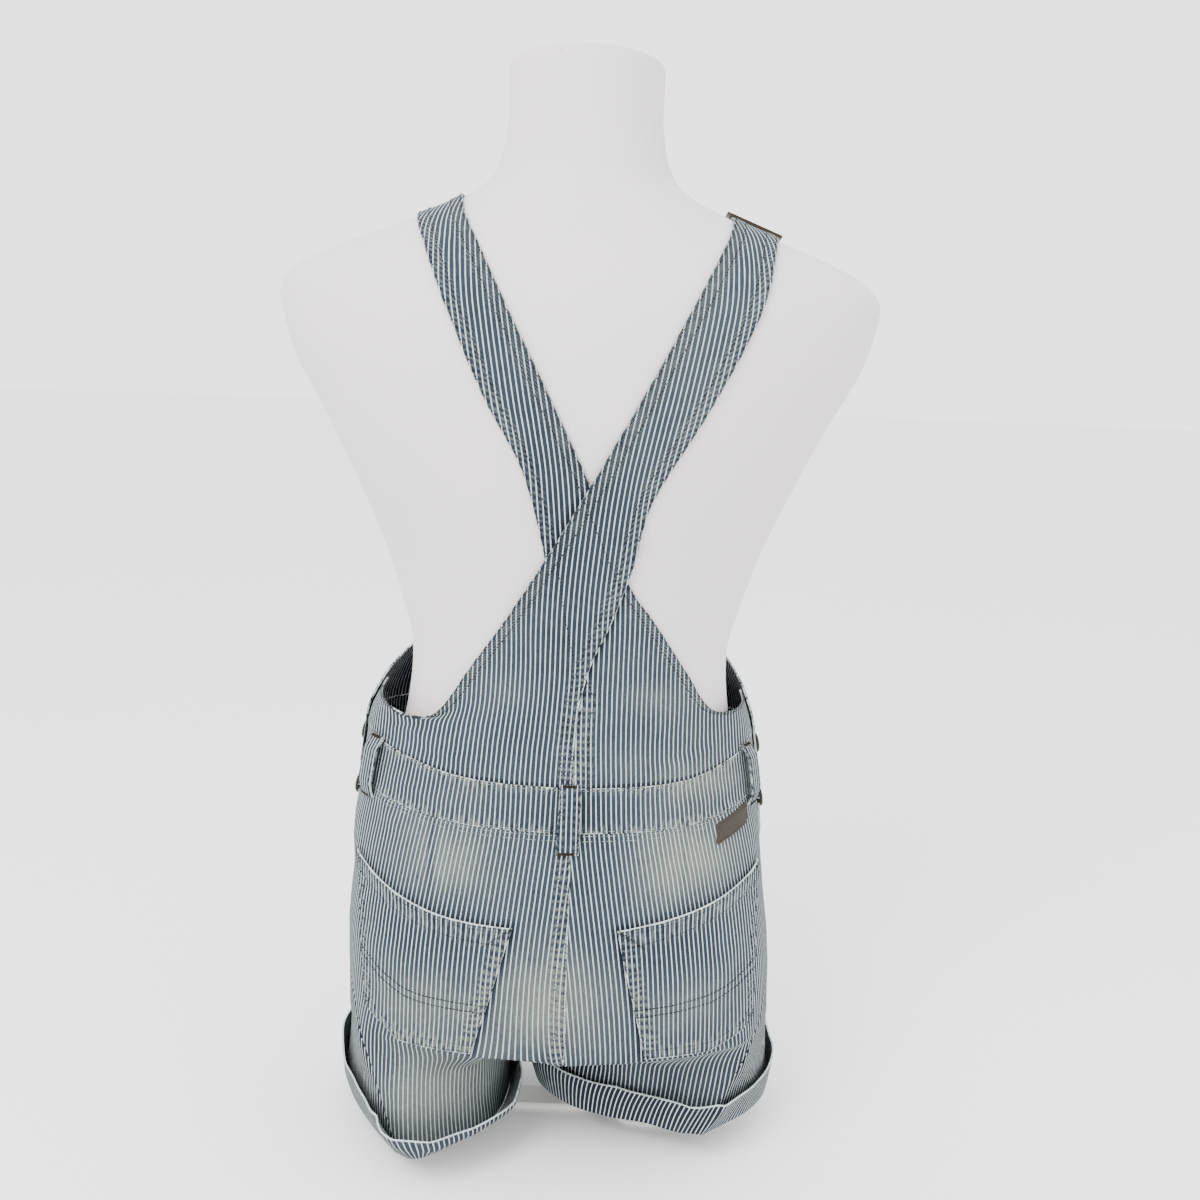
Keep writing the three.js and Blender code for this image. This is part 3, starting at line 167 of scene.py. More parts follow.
BIB = table("share s", [
    (0, 0.485), (0.06, 0.487), (0.11, 0.5), (0.16, 0.55), (0.24, 0.62), (0.36, 0.67), (0.55, 0.705),
    (0.78, 0.725), (1, 0.74),
])
BIB_TOP = 606
POCKETS = {
    "left": {
        "inner_top": (43, 228), "inner_foot": (74, 121.5), "foot_corner": (134, 121.5),
        "outer_foot": (168, 142), "outer_top": (184, 262), "top_sag": -9,
    },
    "right": {
        "inner_top": (37.5, 228), "inner_foot": (63, 121.5), "foot_corner": (118, 121.5),
        "outer_foot": (166, 136), "outer_top": (186, 262), "top_sag": -3,
    },
}
POCKET_BEND = 0.55
POCKET_GAPE = 2.6  # how far a pocket's opening stands off the seat
PATCH = {"from": 124, "to": 167, "drop": 5, "rise": 3.5, "height": 17, "thickness": 1.4, "corner": 3.4,
         "border": 2.2, "border_depth": 0.5}
LOOPS = {
    "belt_loop_centre": {"s": -0.006, "rise": 3, "drop": 16, "stand": 5.2},
    "belt_loop_left": {"s": -0.382, "rise": 3, "drop": 8, "stand": 6},
    "belt_loop_right": {"s": 0.393, "rise": 3, "drop": 8, "stand": 6},
}
LOOP_WIDTH = 17
EDGE_WEAR = {"worn": 0.66, "soft": 0.42}  # how pale an edge has worn: a pocket's opening, and all others

# Soft creases as strokes on the back (y < 0) and the front, by x and z of their ends; a trough is negative
BACK_CREASES = table("x0 z0 x1 z1 width height", [
    (-128, 372, -62, 346, 5, 1.3), (-120, 362, -70, 341, 4, -0.8), (62, 345, 130, 366, 5, 1.4),
    (70, 353, 118, 374, 4, -0.9), (-60, 352, -22, 341, 4, 0.8), (20, 342, 58, 348, 4, 0.7),
    (-96, 298, -104, 246, 2.2, -0.7), (96, 300, 104, 252, 2.2, -0.7), (-90, 292, -60, 262, 8, 0.7),
    (60, 285, 118, 262, 9, 0.7), (-40, 280, -14, 240, 9, 0.6), (18, 214, 46, 176, 10, 0.7),
    (-60, 214, -30, 168, 10, 0.6), (-150, 318, -128, 286, 7, 1.2), (142, 312, 120, 284, 7, 1.0),
    (-84, 398, -40, 366, 7, 0.8), (40, 372, 92, 390, 7, 0.9), (-12, 424, 2, 388, 5, 0.7),
    (34, 428, 12, 392, 5, 0.7), (-140, 330, -60, 318, 5, 0.7), (66, 316, 140, 330, 5, 0.7),
    (-36, 320, 40, 314, 5, 0.5), (-120, 96, -112, 44, 9, 1.6), (-88, 100, -84, 50, 9, -1.3),
    (-62, 104, -58, 52, 8, 1.3), (-146, 150, -158, 70, 9, 1.8), (-12, 104, 34, 52, 8, 2.0),
    (2, 112, 60, 62, 7, -1.5), (48, 110, 86, 56, 9, 1.6), (104, 112, 116, 50, 9, 1.5),
    (150, 170, 168, 60, 10, 1.8), (-170, 300, -168, 240, 8, 1.5), (160, 300, 166, 230, 8, 1.4),
    (-118, 196, -92, 150, 12, 0.9), (112, 200, 84, 150, 12, 0.9), (-150, 210, -132, 160, 9, 0.9),
    (146, 214, 132, 168, 9, 0.8), (-68, 688, -106, 764, 2.6, -1.5), (-60, 698, -98, 768, 2.6, 1.5),
    (-84, 690, -117, 758, 2.6, 1.3), (110, 700, 126, 754, 2.6, 1.2), (122, 698, 138, 750, 2.6, -1.2),
])
FRONT_CREASES = table("x0 z0 x1 z1 width height", [
    (-30, 150, -84, 108, 9, 2.2), (28, 148, 84, 110, 9, 2.2), (-20, 172, -92, 150, 10, 1.8),
    (22, 176, 96, 148, 10, 1.8), (-120, 110, -128, 50, 10, 2.0), (118, 112, 126, 48, 10, 1.9),
    (-82, 100, -78, 50, 9, -1.8), (74, 100, 70, 50, 9, -1.7), (-150, 250, -100, 216, 9, 1.6),
    (150, 250, 104, 214, 9, 1.6), (-136, 330, -84, 318, 7, 1.2), (88, 318, 140, 330, 7, 1.2),
    (-90, 430, -40, 400, 12, 1.8), (44, 402, 92, 434, 12, 1.8), (-60, 520, -12, 470, 14, 1.5),
    (16, 470, 66, 522, 14, 1.5), (-96, 372, -20, 362, 8, 1.4), (24, 362, 100, 374, 8, 1.4),
    (-4, 300, -10, 220, 9, 1.4), (-160, 150, -170, 60, 10, 2.0), (160, 150, 172, 60, 10, 2.0),
])

# Where the indigo has washed out (fade above 0) or stayed dark (below 0), and how green the bleach is; the
# two thin strokes at the end are painted shade in the seat's dart creases
BACK_WASH_AND_SHADE = table("x z rx rz fade green", [
    (-54, 402, 26, 16, 0.14, 0.1), (70, 404, 32, 15, 0.22, 0.6), (0, 440, 26, 30, -0.16, 0),
    (-70, 328, 45, 14, 0.12, 0.35), (112, 334, 36, 14, 0.28, 0.6), (8, 318, 34, 20, -0.12, 0),
    (-84, 272, 42, 30, 0.32, 0.5), (-30, 262, 22, 45, -0.08, 0), (100, 276, 44, 30, 0.44, 0.8),
    (22, 276, 24, 48, -0.18, 0), (-4, 168, 44, 52, 0.38, 0.65), (-108, 158, 66, 32, 0.22, 0.5),
    (-100, 214, 66, 28, -0.22, 0), (108, 160, 58, 28, 0.18, 0.3), (94, 216, 60, 22, -0.20, 0),
    (-96, 70, 60, 44, 0.44, 0.5), (14, 78, 46, 44, -0.46, 0), (104, 92, 36, 34, -0.04, 0.7),
    (-172, 262, 22, 62, -0.12, 0), (172, 262, 22, 62, -0.10, 0), (-158, 90, 24, 40, -0.35, 0),
    (172, 90, 24, 40, -0.35, 0), (0, 372, 60, 22, -0.05, 0), (-6, 560, 44, 60, -0.16, 0),
    (-95, 690, 40, 60, -0.10, 0), (98, 650, 46, 90, 0.16, 0), (74, 356, 60, 30, 0.14, 0.2),
    # painted shade: thin dark strokes along the seat's dart creases
    (-102, 272, 2.4, 26, -0.45, 0), (98, 276, 2.2, 22, -0.25, 0),
])

# How each kind of piece is cut and has worn: its raised hems as edge and width, how far its indigo has faded,
# how deep its creases are, its thickness, its cut area with hems over its area in place, how far its hems
# are raised, and which edges are worn pale or lie in shadow
PLAIN_CUT = {
    "hems": [], "depth": 1.0, "thickness": 1.35, "turned": 1.12, "raised": 0.45, "worn": [], "shaded": [],
}
CUT = {
    "back_left": {"hems": [("start", 10.5)], "fade": 0.47},
    "back_right": {"fade": 0.47},
    "front": {"fade": 0.06, "depth": 1.3},
    "waistband": {"hems": [("high", 3.2), ("low", 4.5)], "fade": 0.40, "raised": 0.25},
    "half_back": {
        "hems": [("start", 11.5), ("end", 11.5)], "fade": 0.40, "depth": 0.8, "turned": 1.3,
        "shaded": ["low"],
    },
    "bib": {"hems": [("start", 11), ("end", 11), ("high", 16)], "fade": 0.5, "depth": 1.2},
    "pocket": {
        "hems": [("start", 10.5), ("end", 10.5), ("low", 9.5), ("high", 15.5)], "fade": 0.45,
        "thickness": 1.2, "turned": 1.25, "worn": ["high"],
    },
    "loop": {
        "hems": [("start", 4.5), ("end", 4.5)], "fade": 0.42, "depth": 0.3, "thickness": 1.6, "turned": 1.4,
        "raised": 0.2,
    },
}
FRONT_DARKER = 0.16  # how much less the garment's front has faded
TURNUP_FADE = 0.08  # how far the indigo of a turn-up has faded
MIDDLE_ROW = 8  # row of a turn-up's grid along which its length is measured
TURNUP_SHELL = 1.3  # thickness of a turn-up, and of the patch below
PATCH_SHELL = 1.3
EDGE_SHADE = {"depth": 0.7, "width": 1.6}  # dark edge of a piece that another one overlaps
POCKET_SHADE = 3.4  # width of the shadow beside a pocket
SHADE_DEPTH = 0.75
# Shadow of the upper strap on the lower half back, by stretches of its edges
CROSSING_SHADE = [
    {"first": 60, "last": 150, "edge": 0, "width": 3.2}, {"first": 20, "last": 90, "edge": -1, "width": 3.0},
]
# How much darker a shell's inside is than its face, and how much of the green is left there
INSIDE = {"panel": {"darker": 0.3, "green": 0.3}, "turnup": {"darker": 0.32, "green": 1.0}}
# Lean of a back panel's stripes in degrees: at the centre seam above, what the side adds to it, and on
# the leg, at some distances right of the middle
SEAT_LEAN = {
    "left": {"seam": 4, "side": 3, "right": (-150, -100, -45), "leg": (-12, -1, 5)},
    "right": {"seam": -4.5, "side": -3, "right": (0, 80, 125), "leg": (6, 7, 10)},
}
STRAP_TURN = math.radians(16.5)  # how far a strap's stripes turn off its length, up to the shoulder
STRAP_FOLLOW = (0.22, 0.5)  # shares of a half back's length over which its stripes come to follow the strap
STRAP_STRAIGHT = (0.7, 0.85)  # and over which they come to run along it

# Noise in the denim, by lumps a metre across and along the cloth, with its detail and its roughness
GRAIN = {
    "streak": {"across": 900, "along": 140, "detail": 3.0, "rough": 0.65},
    "weft": {"across": 260, "along": 900, "detail": 2.0, "rough": 0.6},
    "sway": {"across": 60, "along": 26, "detail": 1.0, "rough": 0.5},
}
PUCKER_PITCH = 0.0062  # in metres, as is the twill's
TWILL_PITCH = 0.00105
# How strongly each unevenness moves the fade, the tone of the blue and of the white, and the relief in metres
FADE_BY = {"cloudy": 0.42, "specks": 0.16, "pucker": 0.13, "ridge": 0.46}
BLUE_BY = {"streak": 1.05, "weft": 0.55, "twill": 0.06, "level": 0.95}
WHITE_BY = {"streak": 0.30, "specks": 0.2, "level": 0.97}
RELIEF_BY = {"twill": 0.00005, "streak": 0.00022, "line": 0.00004, "ridge": 0.0006, "crumple": 0.0011}

# Rows of stitches along edges: the pieces, their edges, how far inside an edge the rows lie, and the share of
# it that is sewn
HALVES = ["yoke_left_strap_right", "yoke_right_strap_left"]
BANDS = ["waistband_back", "waistband_front"]
BACKS = ["back_left", "back_right"]
WHOLE = (0.0, 1.0)
HIDDEN_ROW = 10.2  # inside an edge of the lower strap, the row that shows through the upper half back
SEWN = {
    "stitching_straps": [(HALVES, ["start", "end"], [2.0, HIDDEN_ROW], WHOLE)],
    "stitching_centre": [
        (["back_left"], ["start"], [2.0, 8.8], (0.0, 0.62)),
        (["yoke_left_strap_right"], ["end"], [3.4, 6.8], (0.0, 0.085)),
    ],
    "stitching_band": [(BANDS, ["high"], [2.0], WHOLE), (BANDS, ["low"], [1.8], WHOLE)],
    "stitching_seat": [(BACKS, ["low"], [1.6], WHOLE), (BACKS, ["low"], [5.6], WHOLE)],
    "stitching_pockets": [
        row for name in ("pocket_left", "pocket_right") for row in (
            ([name], ["start", "end"], [1.8, 9.0], WHOLE), ([name], ["low"], [1.8, 8.0], WHOLE),
            ([name], ["high"], [1.8, 4.2, 14.6], WHOLE))
    ],
    "stitching_bib": [
        (["bib"], ["start", "end"], [2.0, 9.6], WHOLE), (["bib"], ["high"], [2.0, 14.5], WHOLE),
    ],
    "stitching_loops": [(list(LOOPS), ["start", "end"], [2.2], (0.06, 0.94))],
    "bar_tacks": [(list(LOOPS), ["low", "high"], [1.2, 2.0, 2.8], (0.2, 0.8))],
}
# Each group's thread; its pitch is a share of the usual one unless step gives it in metres
THREADS = {
    "stitching_straps": {"thread": "dark"},
    "stitching_centre": {"thread": "dark"},
    "stitching_band": {"thread": "pale"},
    "stitching_seat": {"thread": "pale"},
    # the pockets' edge rows take the near-black thread, which also stands in for painted shade in their
    # puckers
    "stitching_pockets": {"thread": "dark", "pitch": 0.92, "width": 0.00042},
    "pocket_topstitch": {"thread": "dark", "width": 0.00085, "share": 0.8},
    "stitching_bib": {"thread": "pale"},
    "stitching_loops": {"thread": "dark", "pitch": 0.9, "width": 0.00042},
    "bar_tacks": {"thread": "brown", "step": 0.0009, "width": 0.0011, "share": 1.3},
}
STITCH_WIDTH = 0.00066
STITCH_SHARE = 0.7  # a stitch's length over the distance between stitches
STITCH_LIFT = 0.18
TACK_LIFT = 0.35
COVERED = 3.6  # how close to a piece's face a row lies that shows through it
TOPSTITCH_ROWS = (0.40, 0.345)  # heights of a pocket's two plain rows, as shares of its own

FORM_FOOT = [(118, 9), (118.7, 6), (120.6, 2.8), (123.5, 0.8), (127, 0)]  # rounded rim: height, how far in
FORM_NECK = [(887, 0), (889, 0.9), (890.5, 3.5), (891.6, 8), (892, 12)]
FORM_SIDES = 144
FORM_RINGS = 188  # between the rounded ends

# Soft square lights: where they stand, where they point and their size, in metres
LIGHTS = {
    "key": {"place": (-0.75, -1.25, 1.75), "target": (0, 0, 0.42), "size": 0.9},
    "fill": {"place": (1.5, -0.8, 1.1), "target": (0, 0, 0.45), "size": 1.2},
}
FLOOR_RADIUS = 40
FLOOR_SIDES = 96
LENS = 36  # of a sensor as wide, both in millimetres


def smooth(low, high, x):
    """0 below low, 1 above high, with a smooth step between"""
    t = np.clip((np.asarray(x, float) - low) / (high - low), 0, 1)
    return t * t * (3 - 2 * t)


def unit(v):
    """Vectors at length one"""
    return v / np.maximum(np.linalg.norm(v, axis=-1, keepdims=True), 1e-9)


def column(rows, key, name, x):
    """A cubic through a table's column, at x along its key column"""
    k, y = rows[key], rows[name]
    last = len(k) - 1
    before = np.maximum(np.arange(last + 1) - 1, 0)
    after = np.minimum(np.arange(last + 1) + 1, last)
    slope = (y[after] - y[before]) / (k[after] - k[before])
    x = np.asarray(x, float)
    i = np.clip(np.searchsorted(k, x, side="right") - 1, 0, last - 1)
    span = k[i + 1] - k[i]
    t = np.clip((x - k[i]) / span, 0, 1)
    t2, t3 = t * t, t * t * t
    start = (2 * t3 - 3 * t2 + 1) * y[i] + (t3 - 2 * t2 + t) * slope[i] * span
    return start + (3 * t2 - 2 * t3) * y[i + 1] + (t3 - t2) * slope[i + 1] * span


def ring(z, off=0.0, worn=True):
    """Side, back and front reach, power and sway of the body's ring at a height"""
    reach = [column(FORM, "z", name, z) + off for name in ("side", "back", "front")]
    if worn:
        reach = [r + column(EASE, "z", name, z) for r, name in zip(reach, ("side", "back", "front"))]
    sway = column(EASE, "z", "sway", z) if worn else np.zeros_like(reach[0])
    return (*reach, column(FORM, "z", "power", z), sway)


def at_angle(reach, angle):
    """Point of a ring at an angle round it, from centre back over the right side"""
    side, back, front, power = reach[:4]
    sin, cos = np.sin(angle), np.cos(angle)
    bend = lambda v: np.sign(v) * np.abs(v) ** (2 / power)
    return side * bend(sin), -np.where(cos > 0, back, front) * bend(cos)


RING_STEP = 4.0
HEIGHTS = np.arange(100, 840, RING_STEP)


def even_angles():
    """Angle at each share of the way round, even in length within a quarter, and the back quarter's length"""
    reach = [column_of[:, None] for column_of in ring(HEIGHTS)]
    steps = np.linspace(0, np.pi / 2, 121)
    rows = []
    for start in (0, np.pi / 2):
        x, y = at_angle(reach, start + steps[None, :] + 0 * reach[0])
        lengths = np.cumsum(np.hypot(np.diff(x), np.diff(y)), axis=1)
        lengths = np.concatenate([np.zeros((len(x), 1)), lengths], axis=1)
        goal = np.linspace(0, 1, 101)
        rows.append((np.array([np.interp(goal * l[-1], l, start + steps) for l in lengths]), lengths[:, -1]))
    return np.concatenate([rows[0][0], rows[1][0][:, 1:]], axis=1), rows[0][1]


ANGLES, QUARTERS = even_angles()


def share_of(distance, z):
    """The share of the way round that a distance takes up at a height, on the back"""
    return 0.5 * distance / np.interp(z, HEIGHTS, QUARTERS)


def ring_point(z, s, off=0.0):
    """A point of the garment's inner face at a height and a share of the way round"""
    z, s = np.broadcast_arrays(np.asarray(z, float), np.asarray(s, float))
    place = np.clip((z - HEIGHTS[0]) / RING_STEP, 0, len(HEIGHTS) - 1.001)
    row = place.astype(int)
    turned = s + share_of(column(TURN, "z", "right", z), z) * (1 - smooth(*TURN_FADE, np.abs(s)))
    across = np.clip(np.abs(turned), 0, 1) * 200
    col = np.minimum(across.astype(int), 199)
    a, b = place - row, across - col
    low = ANGLES[row, col] * (1 - b) + ANGLES[row, col + 1] * b
    high = ANGLES[row + 1, col] * (1 - b) + ANGLES[row + 1, col + 1] * b
    reach = ring(z, off)
    x, y = at_angle(reach, low * (1 - a) + high * a)
    return np.stack([np.sign(turned) * x + reach[4], y, z], axis=-1)


def on_ring(z, s, off=0.0):
    """The ring surface moved out along its own normal"""
    z, s = np.broadcast_arrays(np.asarray(z, float), np.asarray(s, float))
    step = 0.004
    around = ring_point(z, s + step) - ring_point(z, s - step)
    up = ring_point(z + 2, s) - ring_point(z - 2, s)
    normal = unit(np.cross(around, up))
    return ring_point(z, s) + normal * np.asarray(off, float)[..., None]


def worn_depth(p):
    """Below zero inside the garment's inner face, above zero outside it"""
    side, back, front, power, sway = ring(np.clip(p[..., 2], FORM_BOTTOM, 830))
    depth = np.where(p[..., 1] < 0, back, front)
    return (np.abs(p[..., 0] - sway) / side) ** power + (np.abs(p[..., 1]) / depth) ** power - 1


def on_body(rough, off=0.0):
    """The point of the inner face that lies outward of a rough one, moved out along the normal"""
    spread = 0.35 + 0.6 * smooth(440, 650, rough[..., 2])
    core = np.stack([rough[..., 0] * spread, 0 * spread, np.minimum(rough[..., 2], PIVOT_Z)], axis=-1)
    way = unit(rough - core)
    near, far = np.zeros(spread.shape), np.full(spread.shape, 320.0)
    for _ in range(24):
        middle = (near + far) / 2
        inside = worn_depth(core + way * middle[..., None]) < 0
        near, far = np.where(inside, middle, near), np.where(inside, far, middle)
    p = core + way * near[..., None]
    slope = [worn_depth(p + step) - worn_depth(p - step) for step in np.eye(3)]
    return p + unit(np.stack(slope, axis=-1)) * np.asarray(off, float)[..., None]


class Curve:
    """A centripetal Catmull-Rom curve through points"""

    def __init__(self, points):
        p = np.array(points, float)
        self.points = np.vstack([2 * p[0] - p[1], p, 2 * p[-1] - p[-2]])
        self.count = len(p)

    def at(self, t):
        """The point at a share of the way through the given points"""
        place = np.clip(np.asarray(t, float), 0, 1) * (self.count - 1)
        i = np.minimum(place.astype(int), self.count - 2)
        w = (place - i)[..., None]
        a, b, c, d = (self.points[i + k] for k in range(4))
        gap = lambda p, q: np.maximum(np.linalg.norm(q - p, axis=-1, keepdims=True) ** 0.5, 1e-4)
        d0, d1, d2 = gap(a, b), gap(b, c), gap(c, d)
        t1 = ((b - a) / d0 - (c - a) / (d0 + d1) + (c - b) / d1) * d1
        t2 = ((c - b) / d1 - (d - b) / (d1 + d2) + (d - c) / d2) * d1
        return b + t1 * w + (3 * c - 3 * b - 2 * t1 - t2) * w**2 + (2 * b - 2 * c + t1 + t2) * w**3

    def even(self, u):
        """The point at a share of the curve's length"""
        t = np.linspace(0, 1, 401)
        steps = np.linalg.norm(np.diff(self.at(t), axis=0), axis=1)
        lengths = np.concatenate([[0], np.cumsum(steps)])
        return self.at(np.interp(np.asarray(u) * lengths[-1], lengths, t))


# Panels as grids of points of the outer face: rows go up or along, columns across
def side_sign(side):
    """1 on the wearer's right, -1 on the left"""
    return 1 if side == "right" else -1


def side_share(z, piece):
    """Share of the way round at which a leg panel ends at its side"""
    seam = column(SIDE_SEAM, "z", "s", z)
    if piece == "front":
        return seam + HALF_SEAM - (FRONT_LAP + HALF_SEAM) * smooth(OPENING_FOOT + 8, OPENING_FOOT + 26, z)
    return seam - HALF_SEAM + (BACK_LAP + HALF_SEAM) * smooth(OPENING_FOOT + 26, OPENING_FOOT + 42, z)


def inner_edge(side, piece, v):
    """Inner edge of a lower panel, under the form to the crotch, then down the inseam"""
    leg = LEGS[side]
    end = 0 if piece == "back" else -1
    foot = np.array([leg[piece][name][end] for name in "xyz"])
    start = ring_point(FORM_BOTTOM, 0.0 if piece == "back" else 1.0, CLOTH)
    crotch = np.array(leg["crotch"], float)
    angle = np.minimum(v / CROTCH_SHARE, 1) * np.pi / 2
    under = (1 - np.cos(angle))[..., None]
    down = np.sin(np.minimum(np.pi / 2, angle * 1.6))
    p = start + (crotch - start) * under
    p[..., 2] = start[2] + (crotch[2] - start[2]) * down
    t = np.clip((v - CROTCH_SHARE) / (1 - CROTCH_SHARE), 0, 1)[..., None]
    return np.where(v[..., None] >= CROTCH_SHARE, crotch + (foot - crotch) * t, p)


def leg_patch(side, piece, v, u):
    """Lower part of a leg panel between the seat's edge (v 0) and the hem (v 1); u is 1 at the side seam"""
    way = side_sign(side)
    rows = LEGS[side][piece]
    hem = Curve(np.stack([rows["x"], rows["y"], rows["z"]], axis=1))
    back = piece == "back"
    inner = 0.0 if back else 1.0
    seam_share = side_share(FORM_BOTTOM, piece)
    u = np.clip(u, SEAM_GAP / PANEL_WIDTH, 1 - SEAM_GAP / PANEL_WIDTH)

    def straight(uu):
        top = ring_point(FORM_BOTTOM, way * (inner + (seam_share - inner) * uu), CLOTH)
        foot = hem.even(uu if back else 1 - uu)
        tucked = 1 - (1 - v) ** TUCK if back else v
        return top + (foot - top) * np.stack([tucked, tucked, v], axis=-1)

    seam_top = ring_point(FORM_BOTTOM, way * seam_share, CLOTH)
    seam = seam_top + (hem.at(1.0 if back else 0.0) - seam_top) * v[..., None]
    seam[..., 1] -= SIDE_BOW * np.sin(np.pi * v)
    pull = (inner_edge(side, piece, v) - straight(0 * u)) * ((1 - u) ** UNDER_FADE)[..., None]
    p = straight(u) + pull + (seam - straight(0 * u + 1)) * u[..., None]
    p[..., 2] = np.minimum(p[..., 2], FORM_BOTTOM - UNDER_DROP * smooth(0, 0.05, v))
    p[..., 0] += way * SEAM_GAP / 2 * (1 - u)
    return p


def leg_grid(side, piece, columns=84, upper=72, lower=44):
    """A whole leg panel, from the waistband down to the hem"""
    way = side_sign(side)
    centre = HALF_SEAM if piece == "back" else 1 - HALF_SEAM
    share, u = np.meshgrid(np.linspace(0, 1, upper), np.linspace(0, 1, columns), indexing="ij")
    s = centre + (side_share(300 - (300 - FORM_BOTTOM) * share, piece) - centre) * u
    top = column(WAIST_SEAMS, "s", "bottom", s) - SEAM_GAP
    z = top - (top - FORM_BOTTOM) * share
    lift = FRONT_LIFT * smooth(OPENING_FOOT - 14, OPENING_FOOT + 8, z) if piece == "front" else 0 * z
    rings = on_ring(z, way * s, CLOTH + lift)
    v, u = np.meshgrid(np.linspace(0, 1, lower + 1)[1:], np.linspace(0, 1, columns), indexing="ij")
    return np.concatenate([rings, leg_patch(side, piece, v, u)])


def cuff_grid(side, rows=16):
    """A turn-up: from under the fold at the hem up its outside to its rim, all round the leg"""
    stations = []
    for piece, count in CUFF_STATIONS:
        table_rows = LEGS[side][piece]
        u = np.arange(count) / count
        u = u if piece == "back" else 1 - u
        steps = np.hypot(np.diff(table_rows["x"]), np.diff(table_rows["y"]))
        reach = np.concatenate([[0], np.cumsum(steps)]) / steps.sum()
        share = u if piece == "back" else 1 - u
        lean, rim = (np.interp(share, reach, table_rows[n]) for n in ("lean", "rim"))
        stations.append((piece, u, lean, rim))
    t = np.linspace(0, 1, rows)
    lean, rim = (np.concatenate([s[k] for s in stations]) for k in (2, 3))
    angle = np.radians(lean + (rim - lean) * smooth(CUFF_CURL, 1, t)[:, None])
    step = lambda f: np.vstack([0 * f[:1], np.cumsum((f[1:] + f[:-1]) / 2, axis=0)]) / (rows - 1)
    height, out = step(np.cos(angle)), step(np.sin(angle))
    column_of, base, wall = 0, [], []
    for piece, u, *_ in stations:
        h = height[:, column_of:column_of + len(u)]
        base.append(leg_patch(side, piece, 1 - CUFF_SHARE * h, u[None, :] + 0 * h))
        even = 1 - CUFF_SHARE * t[:, None] + 0 * h
        wall.append(leg_patch(side, piece, even, u[None, :] + 0 * h))
        column_of += len(u)
    base, wall = np.concatenate(base, axis=1), np.concatenate(wall, axis=1)
    normal = side_sign(side) * grid_normals(wall, True)
    grid = base + normal * (LAYER_GAP + CLOTH + CUFF_WIDTH * out)[..., None]
    wave = CUFF_WAVE * waves(grid, 34, 5)[..., None] * t[:, None, None] ** 1.5
    grid = grid + normal * (wave + CUFF_WAVE * t[:, None, None])
    down = unit(wall[0] - wall[-1])
    under = grid[0] + down * 1.0 - normal[0] * 1.6
    return np.concatenate([under[None], grid])


def band_grid(piece, rows=20, columns=260):
    """The waistband's back or front piece"""
    back = piece == "back"
    start, end = (-(0.5 + BACK_LAP), 0.5 + BACK_LAP) if back else (0.5 - FRONT_LAP, 1.5 + FRONT_LAP)
    v, around = np.meshgrid(np.linspace(0, 1, rows), np.linspace(start, end, columns), indexing="ij")
    s = np.where(around > 1, around - 2, around)
    top = column(WAIST_SEAMS, "s", "top", np.abs(s)) - SEAM_GAP / 2
    bottom = column(WAIST_SEAMS, "s", "bottom", np.abs(s))
    return on_ring(bottom + (top - bottom) * v, s, CLOTH + (0 if back else FRONT_LIFT))


def crossing_lift(p):
    """How far the upper strap lifts over the lower one"""
    rows = {name: STRAP_UNDER[name][CROSSED_ROWS] for name in ("ox", "oz", "ix", "iz")}
    right = np.interp(p[..., 2], rows["oz"], rows["ox"])
    left = np.interp(p[..., 2], rows["iz"], rows["ix"])
    inside = np.minimum(p[..., 0] - left, right - p[..., 0])
    rise = smooth(CROSSING["from"], CROSSING["to"], p[..., 2])
    lift = (CLOTH + LAYER_GAP) * rise * smooth(-CROSSING["far"], -CROSSING["near"], inside)
    return np.where((p[..., 1] > CROSSING["behind"]) | (p[..., 2] > CROSSING["top"]), 0, lift)


def strap_curves(rows):
    """Outer edge, bend and inner edge of a half back, and shares of its length at even steps"""
    outer, bend, inner = (np.stack([rows[a + b] for b in "xyz"], axis=1) for a in "obi")
    bend = np.where(np.isnan(bend), outer + (inner - outer) * BEND_SHARE, bend)
    curves = [Curve(outer), Curve(bend), Curve(inner)]
    t = np.linspace(0, 1, 601)
    middle = (curves[0].at(t) + curves[2].at(t)) / 2
    lengths = np.concatenate([[0], np.cumsum(np.linalg.norm(np.diff(middle, axis=0), axis=1))])
    return curves, t, lengths


def strap_grid(rows, lifted, stations=250, columns=48):
    """A half back and its strap, from the waist seam over the shoulder to the bib"""
    (outer, bend, inner), t, lengths = strap_curves(rows)
    along = np.interp(np.linspace(0, 1, stations) * lengths[-1], lengths, t)
    first = np.interp(FIRST_STATION * lengths[-1], lengths, t)
    v, u = np.meshgrid(along, np.linspace(0, 1, columns), indexing="ij")
    way = np.sign(rows["ox"][0])
    held = np.maximum(v, first)
    a, b, c = outer.at(held), bend.at(held), inner.at(held)
    k, m = (u / BEND_SHARE)[..., None], ((u - BEND_SHARE) / (1 - BEND_SHARE))[..., None]
    rough = np.where(u[..., None] < BEND_SHARE, a + (b - a) * k, b + (c - b) * m)
    rough[..., 0] += np.where(rough[..., 2] < CB_SEAM_TOP, way * SEAM_GAP / 2 * u, 0)
    waist = 0.5 + BACK_LAP
    s = way * (waist + (HALF_SEAM - waist) * u)
    seam = on_ring(column(WAIST_SEAMS, "s", "top", np.abs(s)) + SEAM_GAP, s, 0)
    rough = seam + (rough - seam) * np.clip(v / first, 0, 1)[..., None]
    on_bib = np.where(v > 0.9, 1 - smooth(BIB_TOP + 6, BIB_TOP + 54, rough[..., 2]), 0)
    lift = (crossing_lift(rough) if lifted else 0) + on_bib * FRONT_LIFT
    return on_body(rough, lift + CLOTH)


